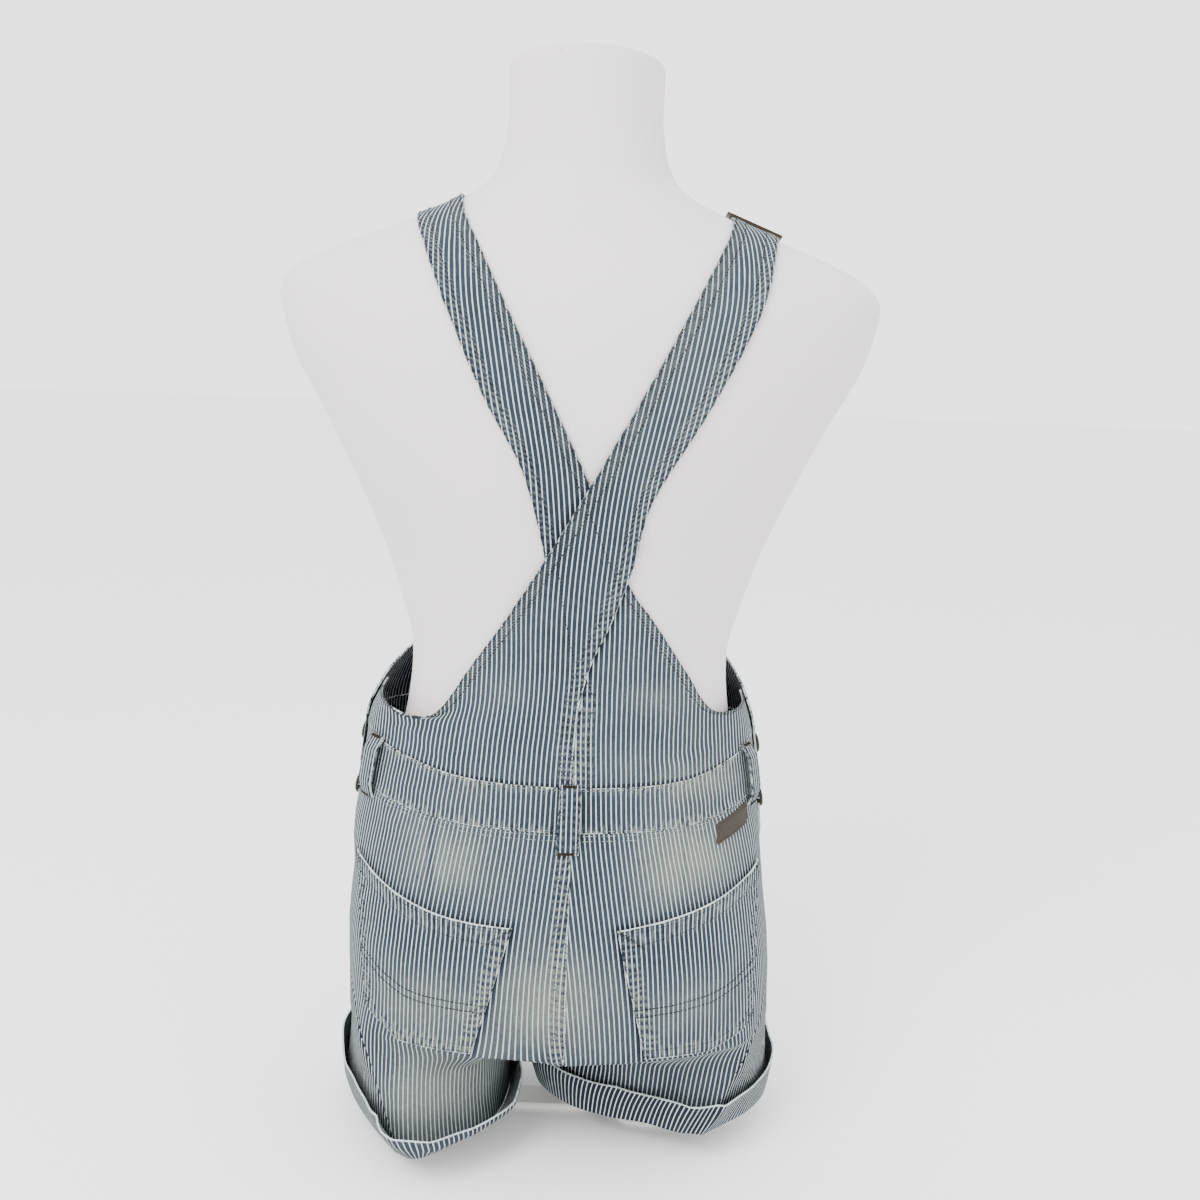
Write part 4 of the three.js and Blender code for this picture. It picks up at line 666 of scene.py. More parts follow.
def bib_grid(rows=110, columns=96):
    """The bib, from the front waistband up"""
    v, u = np.meshgrid(np.linspace(0, 1, rows) ** 1.15, np.linspace(0, 1, columns), indexing="ij")
    around = 1 + (1 - column(BIB, "share", "s", v)) * (2 * u - 1)
    s = np.where(around > 1, around - 2, around)
    low = column(WAIST_SEAMS, "s", "top", np.abs(s)) + SEAM_GAP / 2
    return on_ring(low + (BIB_TOP - low) * v, s, FRONT_LIFT + CLOTH)


def on_seat(side, distance, z, off):
    """A point on the seat by its distance from the centre back seam"""
    return on_ring(z, side_sign(side) * share_of(distance, z), off)


def pocket_grid(side, rows=64, columns=72):
    """A back patch pocket, from its foot up to its opening"""
    v, u = np.meshgrid(np.linspace(0, 1, rows), np.linspace(0, 1, columns), indexing="ij")
    corners = POCKETS[side]
    a, b, c = (np.array(corners[name]) for name in ("inner_foot", "foot_corner", "outer_foot"))
    k, m = (u / POCKET_BEND)[..., None], ((u - POCKET_BEND) / (1 - POCKET_BEND))[..., None]
    foot = np.where(u[..., None] < POCKET_BEND, a + (b - a) * k, b + (c - b) * m)
    inner, outer = np.array(corners["inner_top"]), np.array(corners["outer_top"])
    top = inner + (outer - inner) * u[..., None]
    top[..., 1] += corners["top_sag"] * np.sin(np.pi * u)
    place = foot + (top - foot) * v[..., None]
    gape = POCKET_GAPE * smooth(0.88, 1, v) * np.sin(np.pi * np.clip(u, 0, 1)) ** 0.7
    return on_seat(side, place[..., 0], place[..., 1], 2 * CLOTH + LAYER_GAP + gape)


def loop_grid(name, rows=44, columns=14):
    """A belt loop, which stands off the waistband"""
    loop = LOOPS[name]
    top = column(WAIST_SEAMS, "s", "top", abs(loop["s"])) + loop["rise"]
    bottom = column(WAIST_SEAMS, "s", "bottom", abs(loop["s"])) - loop["drop"]
    v, u = np.meshgrid(np.linspace(0, 1, rows), np.linspace(0, 1, columns), indexing="ij")
    arch = np.minimum(1, 4.2 * np.minimum(v, 1 - v)) ** 0.7
    s = loop["s"] + share_of(LOOP_WIDTH / 2, 320) * (2 * u - 1)
    return on_ring(bottom + (top - bottom) * v, s, 2 * CLOTH + LAYER_GAP + loop["stand"] * arch)


def patch_grid(rows=64, columns=120):
    """The bare patch below the waistband, with round corners and a debossed border"""
    half = np.array([(PATCH["to"] - PATCH["from"]) / 2, PATCH["height"] / 2])
    b, a = np.meshgrid(np.linspace(-1, 1, rows), np.linspace(-1, 1, columns), indexing="ij")
    flat = np.stack([a, b], axis=-1) * half
    core = half - PATCH["corner"]
    over = np.maximum(np.abs(flat) - core, 0)
    rounding = over.max(axis=-1) / np.maximum(np.linalg.norm(over, axis=-1), 1e-9)
    flat = np.sign(flat) * (np.minimum(np.abs(flat), core) + over * rounding[..., None])
    distance = (PATCH["from"] + PATCH["to"]) / 2 + flat[..., 0]
    seam = column(WAIST_SEAMS, "s", "bottom", share_of(distance, 305 + 0 * distance))
    rise = PATCH["rise"] * (flat[..., 0] / half[0] + 1) / 2
    z = seam - PATCH["drop"] + rise - half[1] + flat[..., 1]
    rim = np.minimum((1 - np.abs(a)) * half[0], (1 - np.abs(b)) * half[1])
    border = PATCH["border_depth"] * np.exp(-(((rim - PATCH["border"]) / 0.45) ** 2))
    height = PATCH["thickness"] * smooth(-0.5, 1.2, rim) - border
    return on_seat("right", distance, z, CLOTH + LAYER_GAP + height)


def grid_normals(grid, wrap=False):
    """Normals of a grid, as the cross product of its columns' and rows' directions"""
    if wrap:
        across = np.roll(grid, -1, axis=1) - np.roll(grid, 1, axis=1)
    else:
        across = np.gradient(grid, axis=1)
    return unit(np.cross(across, np.gradient(grid, axis=0)))


def waves(points, size, seed):
    """Smooth noise from -1 to 1 whose lumps are about size across"""
    chance = np.random.default_rng(seed)
    total = 0
    for _ in range(7):
        way = unit(chance.normal(size=3)) * 2 * np.pi / (size * chance.uniform(0.8, 2.0))
        total = total + np.sin(points @ way + chance.uniform(0, 2 * np.pi))
    return total / 3.2


def creases(points):
    """Height of the soft creases at points of the garment"""
    x, z = points[..., 0], points[..., 2]
    total = 0
    behind = 1 - smooth(-12, 12, points[..., 1])
    for rows, mask in ((BACK_CREASES, behind), (FRONT_CREASES, 1 - behind)):
        for x0, z0, x1, z1, width, height in zip(*rows.values()):
            length = math.hypot(x1 - x0, z1 - z0)
            t = ((x - x0) * (x1 - x0) + (z - z0) * (z1 - z0)) / length**2
            bow = 0.08 * length * np.sin(np.pi * np.clip(t, 0, 1))
            off = ((x - x0) * (z1 - z0) - (z - z0) * (x1 - x0)) / length - bow
            taper = smooth(-0.1, 0.35, t) * (1 - smooth(0.65, 1.1, t))
            total = total + mask * height * taper * np.exp(-((off / width) ** 2))
    return total


def outward_normals(grid):
    """Normals of a panel's grid, turned away from the middle of the body"""
    normal = grid_normals(grid)
    centre = np.array([0, 0, grid[..., 2].mean()])
    return normal if (normal * (grid - centre)).sum() > 0 else -normal


def dressed(grid, normal, cut):
    """A panel's grid with its creases, its hems and its rounded edges"""
    slack = 0.45 + 0.55 * (1 - smooth(105, 125, grid[..., 2]))
    depth = cut["depth"]
    height = depth * np.maximum(creases(grid), -0.8 - 3 * (1 - smooth(100, 116, grid[..., 2])))
    height = height + depth * slack * 0.55 * (waves(grid, 46, 11) + 0.5 * waves(grid, 21, 12))
    near = edge_distance(grid)
    for name, width in cut["hems"]:
        height = height + cut["raised"] * (1 - smooth(width - 1.2, width + 0.8, near[name]))
    rim = np.min([near[name] for name in near], axis=0)
    height = height - 0.45 * np.exp(-((rim / 0.9) ** 2))
    return grid + normal * height[..., None]


def edge_distance(grid):
    """Distance of each point from the grid's four edges, along its rows and columns"""
    across = np.linalg.norm(np.diff(grid, axis=1), axis=-1)
    along = np.linalg.norm(np.diff(grid, axis=0), axis=-1)
    run = lambda d, axis: np.concatenate([0 * np.take(d, [0], axis), np.cumsum(d, axis=axis)], axis=axis)
    start, low = run(across, 1), run(along, 0)
    return {"start": start, "end": start[:, -1:] - start, "low": low, "high": low[-1:] - low}


# Cloth coordinates: across and along of the flat cloth, found so that the stripes run the way they are led
def cloth_way(grid, normal, lean, strap=None):
    """Direction of the stripes on a panel: upright with a lean in degrees, or led by the strap's own way"""
    angle = np.radians(lean)
    guide = np.stack([np.sin(angle), 0 * angle, np.cos(angle)], axis=-1) + 0 * grid
    if strap is not None:
        share, turn = strap
        way = unit(np.gradient(grid, axis=0))
        turned = way * np.cos(turn)[..., None] + np.cross(normal, way) * np.sin(turn)[..., None]
        guide = guide * (1 - share[..., None]) + turned * share[..., None]
    return unit(guide - normal * (guide * normal).sum(-1, keepdims=True))


def spread(grid, way):
    """Least-squares field over a grid whose slope is way, by conjugate gradients"""
    down, across = np.diff(grid, axis=0), np.diff(grid, axis=1)
    t0 = ((way[1:] + way[:-1]) / 2 * down).sum(-1)
    t1 = ((way[:, 1:] + way[:, :-1]) / 2 * across).sum(-1)
    size0, size1 = np.linalg.norm(down, axis=-1).mean(), np.linalg.norm(across, axis=-1).mean()
    w0, w1 = size1 / size0, size0 / size1

    def back(d0, d1):
        out = np.zeros(grid.shape[:2])
        out[1:] += w0 * d0
        out[:-1] -= w0 * d0
        out[:, 1:] += w1 * d1
        out[:, :-1] -= w1 * d1
        return out

    middle = grid.shape[1] // 2
    x = np.zeros(grid.shape[:2])
    x[1:, middle] = np.cumsum(t0[:, middle])
    x[:, middle + 1:] = x[:, middle:middle + 1] + np.cumsum(t1[:, middle:], axis=1)
    x[:, :middle] = x[:, middle:middle + 1] - np.cumsum(t1[:, :middle][:, ::-1], axis=1)[:, ::-1]
    slope = lambda f: back(np.diff(f, axis=0), np.diff(f, axis=1))
    rest = back(t0, t1) - slope(x)
    step = rest.copy()
    power = (rest**2).sum()
    for _ in range(260):
        pushed = slope(step)
        share = power / max((step * pushed).sum(), 1e-12)
        x += share * step
        rest -= share * pushed
        fresh = (rest**2).sum()
        step = rest + step * (fresh / max(power, 1e-12))
        power = fresh
    return x


def cloth_coordinates(grid, normal, lean, strap=None):
    """Across and along of the flat cloth at each point, in millimetres"""
    way = cloth_way(grid, normal, lean, strap)
    return np.stack([spread(grid, np.cross(way, normal)), spread(grid, way)], axis=-1)


def washed(points, base, wear):
    """Fade, greenness and wear of the cloth at points, with the painted shade of the seat's dart creases in
    the fade
    """
    x, z = points[..., 0], points[..., 2]
    behind = 1 - smooth(-30, 10, points[..., 1])
    fade, green = np.full(x.shape, float(base)), 0.12 + 0 * x
    for bx, bz, rx, rz, more, tint in zip(*BACK_WASH_AND_SHADE.values()):
        blob = np.exp(-((x - bx) / rx) ** 2 - ((z - bz) / rz) ** 2) * behind
        fade, green = fade + more * blob, green + tint * blob
    fade = fade - FRONT_DARKER * (1 - behind)
    return np.stack([np.clip(fade, 0, 1), np.clip(green, 0, 1), wear], axis=-1)


def facing_out(vertices, faces):
    """Faces turned so that the closed mesh has a volume above zero"""
    p = np.asarray(vertices)
    f = np.asarray([q[:3] for q in faces] + [(q[0], q[2], q[3]) for q in faces if len(q) == 4])
    volume = (p[f[:, 0]] * np.cross(p[f[:, 1]], p[f[:, 2]])).sum()
    return faces if volume > 0 else [tuple(reversed(q)) for q in faces]


def shell_faces(rows, columns, wrap):
    """Quads of a closed shell between an outer grid and an inner one"""
    index = np.arange(rows * columns).reshape(rows, columns)
    if wrap:
        index = np.concatenate([index, index[:, :1]], axis=1)
    a, b, c, d = index[:-1, :-1], index[:-1, 1:], index[1:, 1:], index[1:, :-1]
    outer = np.stack([a, b, c, d], axis=-1).reshape(-1, 4)
    n = rows * columns
    inner = np.stack([a, d, c, b], axis=-1).reshape(-1, 4) + n
    walls = [np.stack([e[1:], e[:-1], e[:-1] + n, e[1:] + n], axis=1) for e in (index[0],)]
    walls += [np.stack([e[:-1], e[1:], e[1:] + n, e[:-1] + n], axis=1) for e in (index[-1],)]
    if not wrap:
        e, f = index[:, 0], index[:, -1]
        walls.append(np.stack([e[:-1], e[1:], e[1:] + n, e[:-1] + n], axis=1))
        walls.append(np.stack([f[1:], f[:-1], f[:-1] + n, f[1:] + n], axis=1))
    return [tuple(q) for q in np.concatenate([outer, inner, *walls]).tolist()]


def add_object(name, mesh, material):
    """A new object of a mesh, smooth but for its sharp edges"""
    mesh.materials.append(material)
    mesh.shade_smooth()
    mesh.set_sharp_from_angle(angle=math.radians(48))
    piece = bpy.data.objects.new(name, mesh)
    bpy.context.scene.collection.objects.link(piece)
    return piece


def shell_mesh(name, outer, normal, thickness, wrap=False):
    """A closed shell under an outer face, and the vertex at each corner of its faces"""
    inner = outer - normal * thickness
    vertices = np.concatenate([outer.reshape(-1, 3), inner.reshape(-1, 3)]) * MM
    mesh = bpy.data.meshes.new(name)
    mesh.from_pydata(vertices.tolist(), [], facing_out(vertices, shell_faces(*outer.shape[:2], wrap)))
    corners = np.empty(len(mesh.loops), int)
    mesh.loops.foreach_get("vertex_index", corners)
    return mesh, corners


def set_uv(mesh, layer, values):
    """Stores two values in millimetres at each corner of the faces"""
    mesh.uv_layers.new(name=layer).data.foreach_set("uv", (values * MM).astype(np.float32).ravel())


def set_wash_and_shade(mesh, wash, inside):
    """Stores the fade with its painted shade, the greenness and the wear of a shell's outer face, and those
    of its darker inside
    """
    hidden = wash.copy()
    hidden[..., 0] = np.clip(hidden[..., 0] - inside["darker"], 0, 1)
    hidden[..., 1] *= inside["green"]
    colours = np.ones((len(mesh.vertices), 4), np.float32)
    colours[:, :3] = np.concatenate([wash.reshape(-1, 3), hidden.reshape(-1, 3)])
    mesh.attributes.new("wash", "FLOAT_COLOR", "POINT").data.foreach_set("color", colours.ravel())


def add_shell(name, outer, normal, thickness, layers, wash, material):
    """A closed cloth shell under an outer face, with its cloth coordinates, its wear and its painted shade"""
    mesh, corners = shell_mesh(name, outer, normal, thickness)
    for layer, values in layers.items():
        both = np.concatenate([values.reshape(-1, 2)] * 2)
        set_uv(mesh, layer, both[corners])
    set_wash_and_shade(mesh, wash, INSIDE["panel"])
    return add_object(name, mesh, material)


def hem_map(grid, hems, worn=()):
    """Run along the nearest hem and distance into it, and how strongly the hem puckers there"""
    near = edge_distance(grid)
    runs = {"start": near["low"], "end": near["low"], "low": near["start"], "high": near["start"]}
    if not hems:
        far = np.full(grid.shape[:2], 60.0)
        return np.stack([near["low"], far], axis=-1), 0 * far
    names = [name for name, _ in hems]
    stack = np.stack([near[name] for name in names])
    best = stack.argmin(axis=0)
    run = np.choose(best, [runs[name] for name in names])
    distance = stack.min(axis=0)
    width = np.array([float(w) for _, w in hems])[best]
    wear = np.array([EDGE_WEAR["worn" if name in worn else "soft"] for name in names])[best]
    amount = 1 - smooth(width - 1.5, width + 5, distance)
    return np.stack([run, distance], axis=-1), amount + wear * (1 - smooth(0.5, 1.2, distance))


class Wire:
    """One output of a node tree, whose sums and products are nodes of that tree"""

    def __init__(self, tree, socket):
        self.tree, self.socket = tree, socket

    def node(self, kind, settings=None, sockets=None, out=0):
        """Adds a node: its type, then its settings, then its sockets' values or links"""
        node = self.tree.nodes.new(kind)
        for name, value in (settings or {}).items():
            setattr(node, name, value)
        self.feed(node, sockets or {})
        return Wire(self.tree, node.outputs[out])

    def feed(self, node, sockets):
        """Links or sets a node's sockets"""
        for key, value in sockets.items():
            if isinstance(value, Wire):
                self.tree.links.new(value.socket, node.inputs[key])
            else:
                node.inputs[key].default_value = value

    def math(self, operation, *values):
        """A Math node on this output and others, or numbers"""
        return self.node("ShaderNodeMath", {"operation": operation}, dict(enumerate(values)))

    def __add__(self, other):
        return self.math("ADD", self, other)

    __radd__ = __add__

    def __sub__(self, other):
        return self.math("SUBTRACT", self, other)

    def __rsub__(self, other):
        return self.math("SUBTRACT", other, self)

    def __mul__(self, other):
        return self.math("MULTIPLY", self, other)

    __rmul__ = __mul__

    def __truediv__(self, other):
        return self.math("DIVIDE", self, other)

    def step(self, low, high):
        """0 below low, 1 above high, smooth between"""
        sockets = {"Value": self, "From Min": low, "From Max": high}
        return self.node("ShaderNodeMapRange", {"interpolation_type": "SMOOTHSTEP"}, sockets)

    def mix(self, low, high):
        """The colour between two, by this factor"""
        return self.node("ShaderNodeMix", {"data_type": "RGBA"}, {0: self, 6: low, 7: high}, out=2)

    def noise(self, vector, scale, detail=2.0, rough=0.5):
        """Noise from 0 to 1 at a vector"""
        sockets = {"Vector": vector, "Scale": scale, "Detail": detail, "Roughness": rough}
        return self.node("ShaderNodeTexNoise", {}, sockets)


def new_material(name):
    """A material with a bare Principled shader, as (material, its tree's maker, shader)"""
    material = bpy.data.materials.new(name)
    material.use_nodes = True
    tree = material.node_tree
    shader = tree.nodes["Principled BSDF"]
    return material, Wire(tree, None), shader


def parts_of(maker, vector):
    """X, Y and Z of a vector"""
    split = maker.tree.nodes.new("ShaderNodeSeparateXYZ")
    maker.tree.links.new(vector.socket, split.inputs[0])
    return [Wire(maker.tree, output) for output in split.outputs]


def vector_of(maker, x, y, z=0.0):
    """A vector of three values"""
    return maker.node("ShaderNodeCombineXYZ", {}, {0: x, 1: y, 2: z})


def colour(value):
    """A colour with full alpha"""
    return (*value, 1.0)


def denim_noises(maker, across, along):
    """Streaks of the warp, streaks of the weft and sway of the stripes, each from 0 to 1"""
    noises = []
    for row in GRAIN.values():
        vector = vector_of(maker, across * row["across"], along * row["along"])
        noises.append(maker.noise(vector, 1.0, row["detail"], row["rough"]))
    return noises


def denim_colour(maker, settings, level, green, shades):
    """Colours of the blue warp and of the white stripe, by how far they have washed out"""
    dark = level.step(0.0, 0.5).mix(colour(settings.indigo), colour(settings.mid_blue))
    washed_out = green.mix(colour(settings.pale_blue), colour(settings.pale_green))
    blue = level.step(0.38, 1.05).mix(dark, washed_out)
    white = green.mix(colour(settings.white), colour(settings.white_green))
    return tinted(maker, blue, shades[0]), tinted(maker, white, shades[1])


def denim_material(name, settings):
    """Indigo twill with thin white stripes, washed out, darkened by painted shade and puckered as the piece's
    attributes say
    """
    material, maker, shader = new_material(name)
    cloth = maker.node("ShaderNodeUVMap", {"uv_map": "cloth"})
    hem = maker.node("ShaderNodeUVMap", {"uv_map": "hem"})
    place = maker.node("ShaderNodeTexCoord", out=3)
    wash = maker.node("ShaderNodeAttribute", {"attribute_name": "wash"})
    across, along, _ = parts_of(maker, cloth)
    run = parts_of(maker, hem)[0]
    # the fade channel holds painted shade as well as the fading
    fade, green, pucker = parts_of(maker, wash)
    streak, weft, sway = denim_noises(maker, across, along)
    cloudy = maker.noise(place, 26.0, 4.0, 0.55)
    specks = maker.noise(place, 150.0, 3.0, 0.6)
    crumple = maker.noise(place, 95.0, 3.0, 0.55)

    turn = across / (settings.stripe_pitch * MM) + (sway - 0.5) * 0.16
    from_line = maker.math("ABSOLUTE", maker.math("FRACT", turn + 1000.0) - 0.5)
    half = settings.stripe_width / settings.stripe_pitch / 2
    line = 1.0 - (from_line + (streak - 0.5) * 0.12).step(half - 0.045, half + 0.05)
    twill = maker.math("SINE", (across + along) * (2 * math.pi / TWILL_PITCH))
    ripple = maker.math("SINE", run * (2 * math.pi / PUCKER_PITCH) + (cloudy - 0.5) * 22.0)
    ridge = (ripple * 0.6 + (specks - 0.5) * 1.7) * pucker
    level = fade + (cloudy - 0.5) * FADE_BY["cloudy"] + (specks - 0.5) * FADE_BY["specks"]
    level = (level + pucker * FADE_BY["pucker"] + ridge * FADE_BY["ridge"]) * settings.fade

    warp_shade = (streak - 0.5) * BLUE_BY["streak"] + (weft - 0.5) * BLUE_BY["weft"]
    warp_shade = warp_shade + twill * BLUE_BY["twill"] + BLUE_BY["level"]
    line_shade = (streak - 0.5) * WHITE_BY["streak"] + (specks - 0.5) * WHITE_BY["specks"] + WHITE_BY["level"]
    blue, white = denim_colour(maker, settings, level, green, (warp_shade, line_shade))
    base = (line * (0.80 + 0.18 * (1.0 - level.step(0.2, 0.9)))).mix(blue, white)
    worn = (pucker - 1.0 + (specks - 0.5) * 1.1).step(0.25, 0.6)
    height = twill * RELIEF_BY["twill"] + (streak - 0.5) * RELIEF_BY["streak"] + line * RELIEF_BY["line"]
    height = height + ridge * RELIEF_BY["ridge"] + (crumple - 0.5) * RELIEF_BY["crumple"]
    maker.feed(shader, {
        "Base Color": worn.mix(base, colour(settings.white)),
        "Normal": bump_of(maker, height * settings.relief, 0.85),
        "Roughness": 0.88, "Specular IOR Level": 0.08, "Sheen Weight": 0.015, "Sheen Roughness": 0.5,
    })
    return material


def bump_of(maker, height, strength):
    """The normal of a relief given in metres"""
    return maker.node("ShaderNodeBump", {}, {"Strength": strength, "Distance": 1.0, "Height": height})


def tinted(maker, tint, factor):
    """A colour made lighter or darker by a factor"""
    sockets = {0: tint, 1: vector_of(maker, factor, factor, factor)}
    return maker.node("ShaderNodeVectorMath", {"operation": "MULTIPLY"}, sockets)


def jersey_material(name, settings):
    """Off-white stretch jersey with a fine upright grain"""
    material, maker, shader = new_material(name)
    place = maker.node("ShaderNodeTexCoord", out=3)
    x, y, z = parts_of(maker, place)
    grain = maker.noise(vector_of(maker, x * 1500, y * 1500, z * 110), 1.0, 2.0, 0.6)
    cloudy = maker.noise(place, 9.0, 3.0, 0.5)
    fleck = maker.noise(place, 210.0, 2.0, 0.5).step(0.70, 0.78) * z.step(0.66, 0.9)
    tone = (cloudy - 0.5) * 0.10 + (grain - 0.5) * 0.06 + 1.0
    base = cloudy.mix(colour(settings.jersey), colour(settings.jersey_warm))
    maker.feed(shader, {
        "Base Color": tinted(maker, base, tone - fleck * 0.3), "Normal": bump_of(maker, grain * 0.0002, 0.35),
        "Roughness": 0.62, "Specular IOR Level": 0.3, "Sheen Weight": 0.1,
    })
    return material


def plain_material(name, tint, roughness, metallic=0.0, grain=0.15, scale=260.0, relief=0.0002):
    """A single colour with a fine uneven tone and surface"""
    material, maker, shader = new_material(name)
    place = maker.node("ShaderNodeTexCoord", out=3)
    mottle = maker.noise(place, scale, 3.0, 0.6)
    maker.feed(shader, {
        "Base Color": tinted(maker, tuple(tint), (mottle - 0.5) * grain + 1.0),
        "Normal": bump_of(maker, mottle * relief, 0.5),
        "Roughness": (mottle - 0.5) * 0.2 + roughness, "Metallic": metallic,
        "Specular IOR Level": 0.5 if metallic else 0.12,
    })
    return material


def material_of(name, make):
    """A material by name, made the first time that it is asked for"""
    return bpy.data.materials.get(name) or make()


def denim(settings):
    """The striped denim of every cloth piece"""
    return material_of("striped_denim", lambda: denim_material("striped_denim", settings))


class DungareesCloth(bpy.types.PropertyGroup):
    """Sizes and colours of the cloth"""

    stripe_pitch: FloatProperty(
        name="Stripe Pitch", description="Distance from one white stripe to the next, in millimetres",
        default=3.95, min=1, max=20, unit="NONE")
    stripe_width: FloatProperty(
        name="Stripe Width", description="Width of a white stripe, in millimetres",
        default=0.82, min=0.2, max=5)
    relief: FloatProperty(
        name="Relief", description="Strength of the twill and puckers", default=1.0, min=0, max=3)
    fade: FloatProperty(
        name="Fade", description="How far the indigo is washed out", default=1.0, min=0, max=2)
    indigo: FloatVectorProperty(
        name="Indigo", description="Unfaded warp", subtype="COLOR", default=(0.009, 0.013, 0.021))
    mid_blue: FloatVectorProperty(
        name="Worn Blue", description="Blue of the cloth in general wear", subtype="COLOR",
        default=(0.026, 0.036, 0.049))
    pale_blue: FloatVectorProperty(
        name="Pale Blue", description="Washed-out blue", subtype="COLOR", default=(0.088, 0.104, 0.107))
    pale_green: FloatVectorProperty(
        name="Pale Green", description="Bleached greenish tone", subtype="COLOR",
        default=(0.128, 0.143, 0.124))
    white: FloatVectorProperty(
        name="Stripe White", description="White stripe and worn edges", subtype="COLOR",
        default=(0.50, 0.555, 0.56))
    white_green: FloatVectorProperty(
        name="Bleached Stripe", description="Stripe where the cloth is bleached", subtype="COLOR",
        default=(0.45, 0.485, 0.44))
    # near-black thread; on the pockets' edge rows it also stands in for painted shade in their puckers
    thread_dark: FloatVectorProperty(
        name="Dark Thread", description="Topstitching that shows dark", subtype="COLOR",
        default=(0.006, 0.007, 0.010))
    thread_pale: FloatVectorProperty(
        name="Pale Thread", description="Topstitching that shows pale", subtype="COLOR",
        default=(0.20, 0.22, 0.21))
    thread_brown: FloatVectorProperty(
        name="Bar Tack Thread", description="Brown of the bar tacks", subtype="COLOR",
        default=(0.018, 0.013, 0.010))
    stitch_pitch: FloatProperty(
        name="Stitch Pitch", description="Distance between stitches", default=0.0031, min=0.001, max=0.01,
        unit="LENGTH")
    leather: FloatVectorProperty(
        name="Patch", description="Colour of the bare patch", subtype="COLOR", default=(0.033, 0.027, 0.022))
    jersey: FloatVectorProperty(
        name="Jersey", description="Cover of the dress form", subtype="COLOR", default=(0.60, 0.578, 0.57))
    jersey_warm: FloatVectorProperty(
        name="Jersey Warm", description="Warmer parts of the form's cover", subtype="COLOR",
        default=(0.615, 0.57, 0.563))
    bronze: FloatVectorProperty(
        name="Bronze", description="Sliders, hooks and buttons", subtype="COLOR",
        default=(0.035, 0.028, 0.020))
    stand: FloatVectorProperty(
        name="Stand", description="Paint of the guessed stand", subtype="COLOR", default=(0.74, 0.73, 0.71))


class DungareesStage(bpy.types.PropertyGroup):
    """Camera, light and floor"""

    camera_height: FloatProperty(
        name="Camera Height", description="Height of the camera", default=0.642, min=0, max=3, unit="LENGTH")
    camera_distance: FloatProperty(
        name="Camera Distance", description="Distance of the camera behind the form's middle",
        default=1.0, min=0.3, max=5, unit="LENGTH")
    camera_side: FloatProperty(
        name="Camera Side", description="How far right of the middle the camera is",
        default=0.024, min=-1, max=1, unit="LENGTH")
    camera_pitch: FloatProperty(
        name="Camera Pitch", description="How far the camera looks down",
        default=math.radians(10), min=-1.5, max=1.5, subtype="ANGLE")
    camera_roll: FloatProperty(
        name="Camera Roll", description="How far the camera is tilted",
        default=math.radians(2), min=-1, max=1, subtype="ANGLE")
    key_power: FloatProperty(
        name="Key Light", description="Power of the main soft light",
        default=46.0, min=0, max=1000, unit="POWER")
    fill_power: FloatProperty(
        name="Fill Light", description="Power of the softer side light",
        default=9.0, min=0, max=1000, unit="POWER")
    surround: FloatProperty(
        name="Surround", description="Brightness of the white surround", default=2.7, min=0, max=10)
    floor_colour: FloatVectorProperty(
        name="Floor", description="Colour of the floor", subtype="COLOR", default=(0.93, 0.93, 0.93))


def cloth_settings():
    """The sizes and colours of the cloth"""
    return bpy.context.scene.dungarees_cloth


def flat_size(cloth, area, turned):
    """Smallest rectangle round a piece's flat cut, and the cut's area with its hems, in metres"""
    points = cloth.reshape(-1, 2)
    best = None
    for degrees in range(0, 90, 3):
        a = math.radians(degrees)
        spun = points @ np.array([[math.cos(a), -math.sin(a)], [math.sin(a), math.cos(a)]])
        width, length = np.ptp(spun, axis=0)
        if best is None or width * length < best[0] * best[1]:
            best = (width, length)
    width, length = (round(float(side) * MM, 4) for side in sorted(best))
    return (width, length), min(area * turned * MM * MM, width * length)


def grid_area(grid):
    """Area of a grid's surface"""
    a, b = grid[1:, 1:] - grid[:-1, :-1], grid[1:, :-1] - grid[:-1, 1:]
    return np.linalg.norm(np.cross(a, b), axis=-1).sum() / 2


PANELS = {}  # outer face and normals of each finished piece, for the stitches


def add_cloth(node, kind, grid, lean, strap=None, shadow=0.0):
    """One cloth piece that stands for a node: its creased shell, its cloth coordinates and its record"""
    cut = PLAIN_CUT | CUT[kind]
    flat_normal = outward_normals(grid)
    outer = dressed(grid, flat_normal, cut)
    normal = outward_normals(outer)
    cloth = cloth_coordinates(grid, flat_normal, lean, strap)
    hem, pucker = hem_map(grid, cut["hems"], cut["worn"])
    wash = washed(grid, cut["fade"], pucker)
    # painted shade: dark lines along shaded edges and the shadows of pieces that lie on this one are taken
    # off the fade
    for edge in cut["shaded"]:
        near = edge_distance(grid)[edge]
        wash[..., 0] -= EDGE_SHADE["depth"] * np.exp(-((near / EDGE_SHADE["width"]) ** 2))
    wash[..., 0] -= shadow
    layers = {"cloth": cloth, "hem": hem}
    piece = add_shell(node, outer, normal, cut["thickness"], layers, wash, denim(cloth_settings()))
    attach(piece, "root")
    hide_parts(node)
    flat, area = flat_size(cloth, grid_area(grid), cut["turned"])
    PANELS[node] = (outer, normal)
    return piece


def shadow_of(grid, edge, width):
    """How dark a panel is beside the edge of a piece that lies on it"""
    flat = grid.reshape(-1, 3)
    gap = np.min([np.linalg.norm(flat - point, axis=-1) for point in edge], axis=0)
    return SHADE_DEPTH * np.exp(-((gap.reshape(grid.shape[:2]) / width) ** 2))


def seat_lean(side, grid):
    """Lean of a back panel's stripes by where they are: off the centre seam above, as the leg hangs below"""
    row = SEAT_LEAN[side]
    x, z = grid[..., 0], grid[..., 2]
    seat = row["seam"] + row["side"] * smooth(0, 110, np.abs(x))
    leg = np.interp(x, row["right"], row["leg"])
    return leg + (seat - leg) * smooth(104, 122, z)


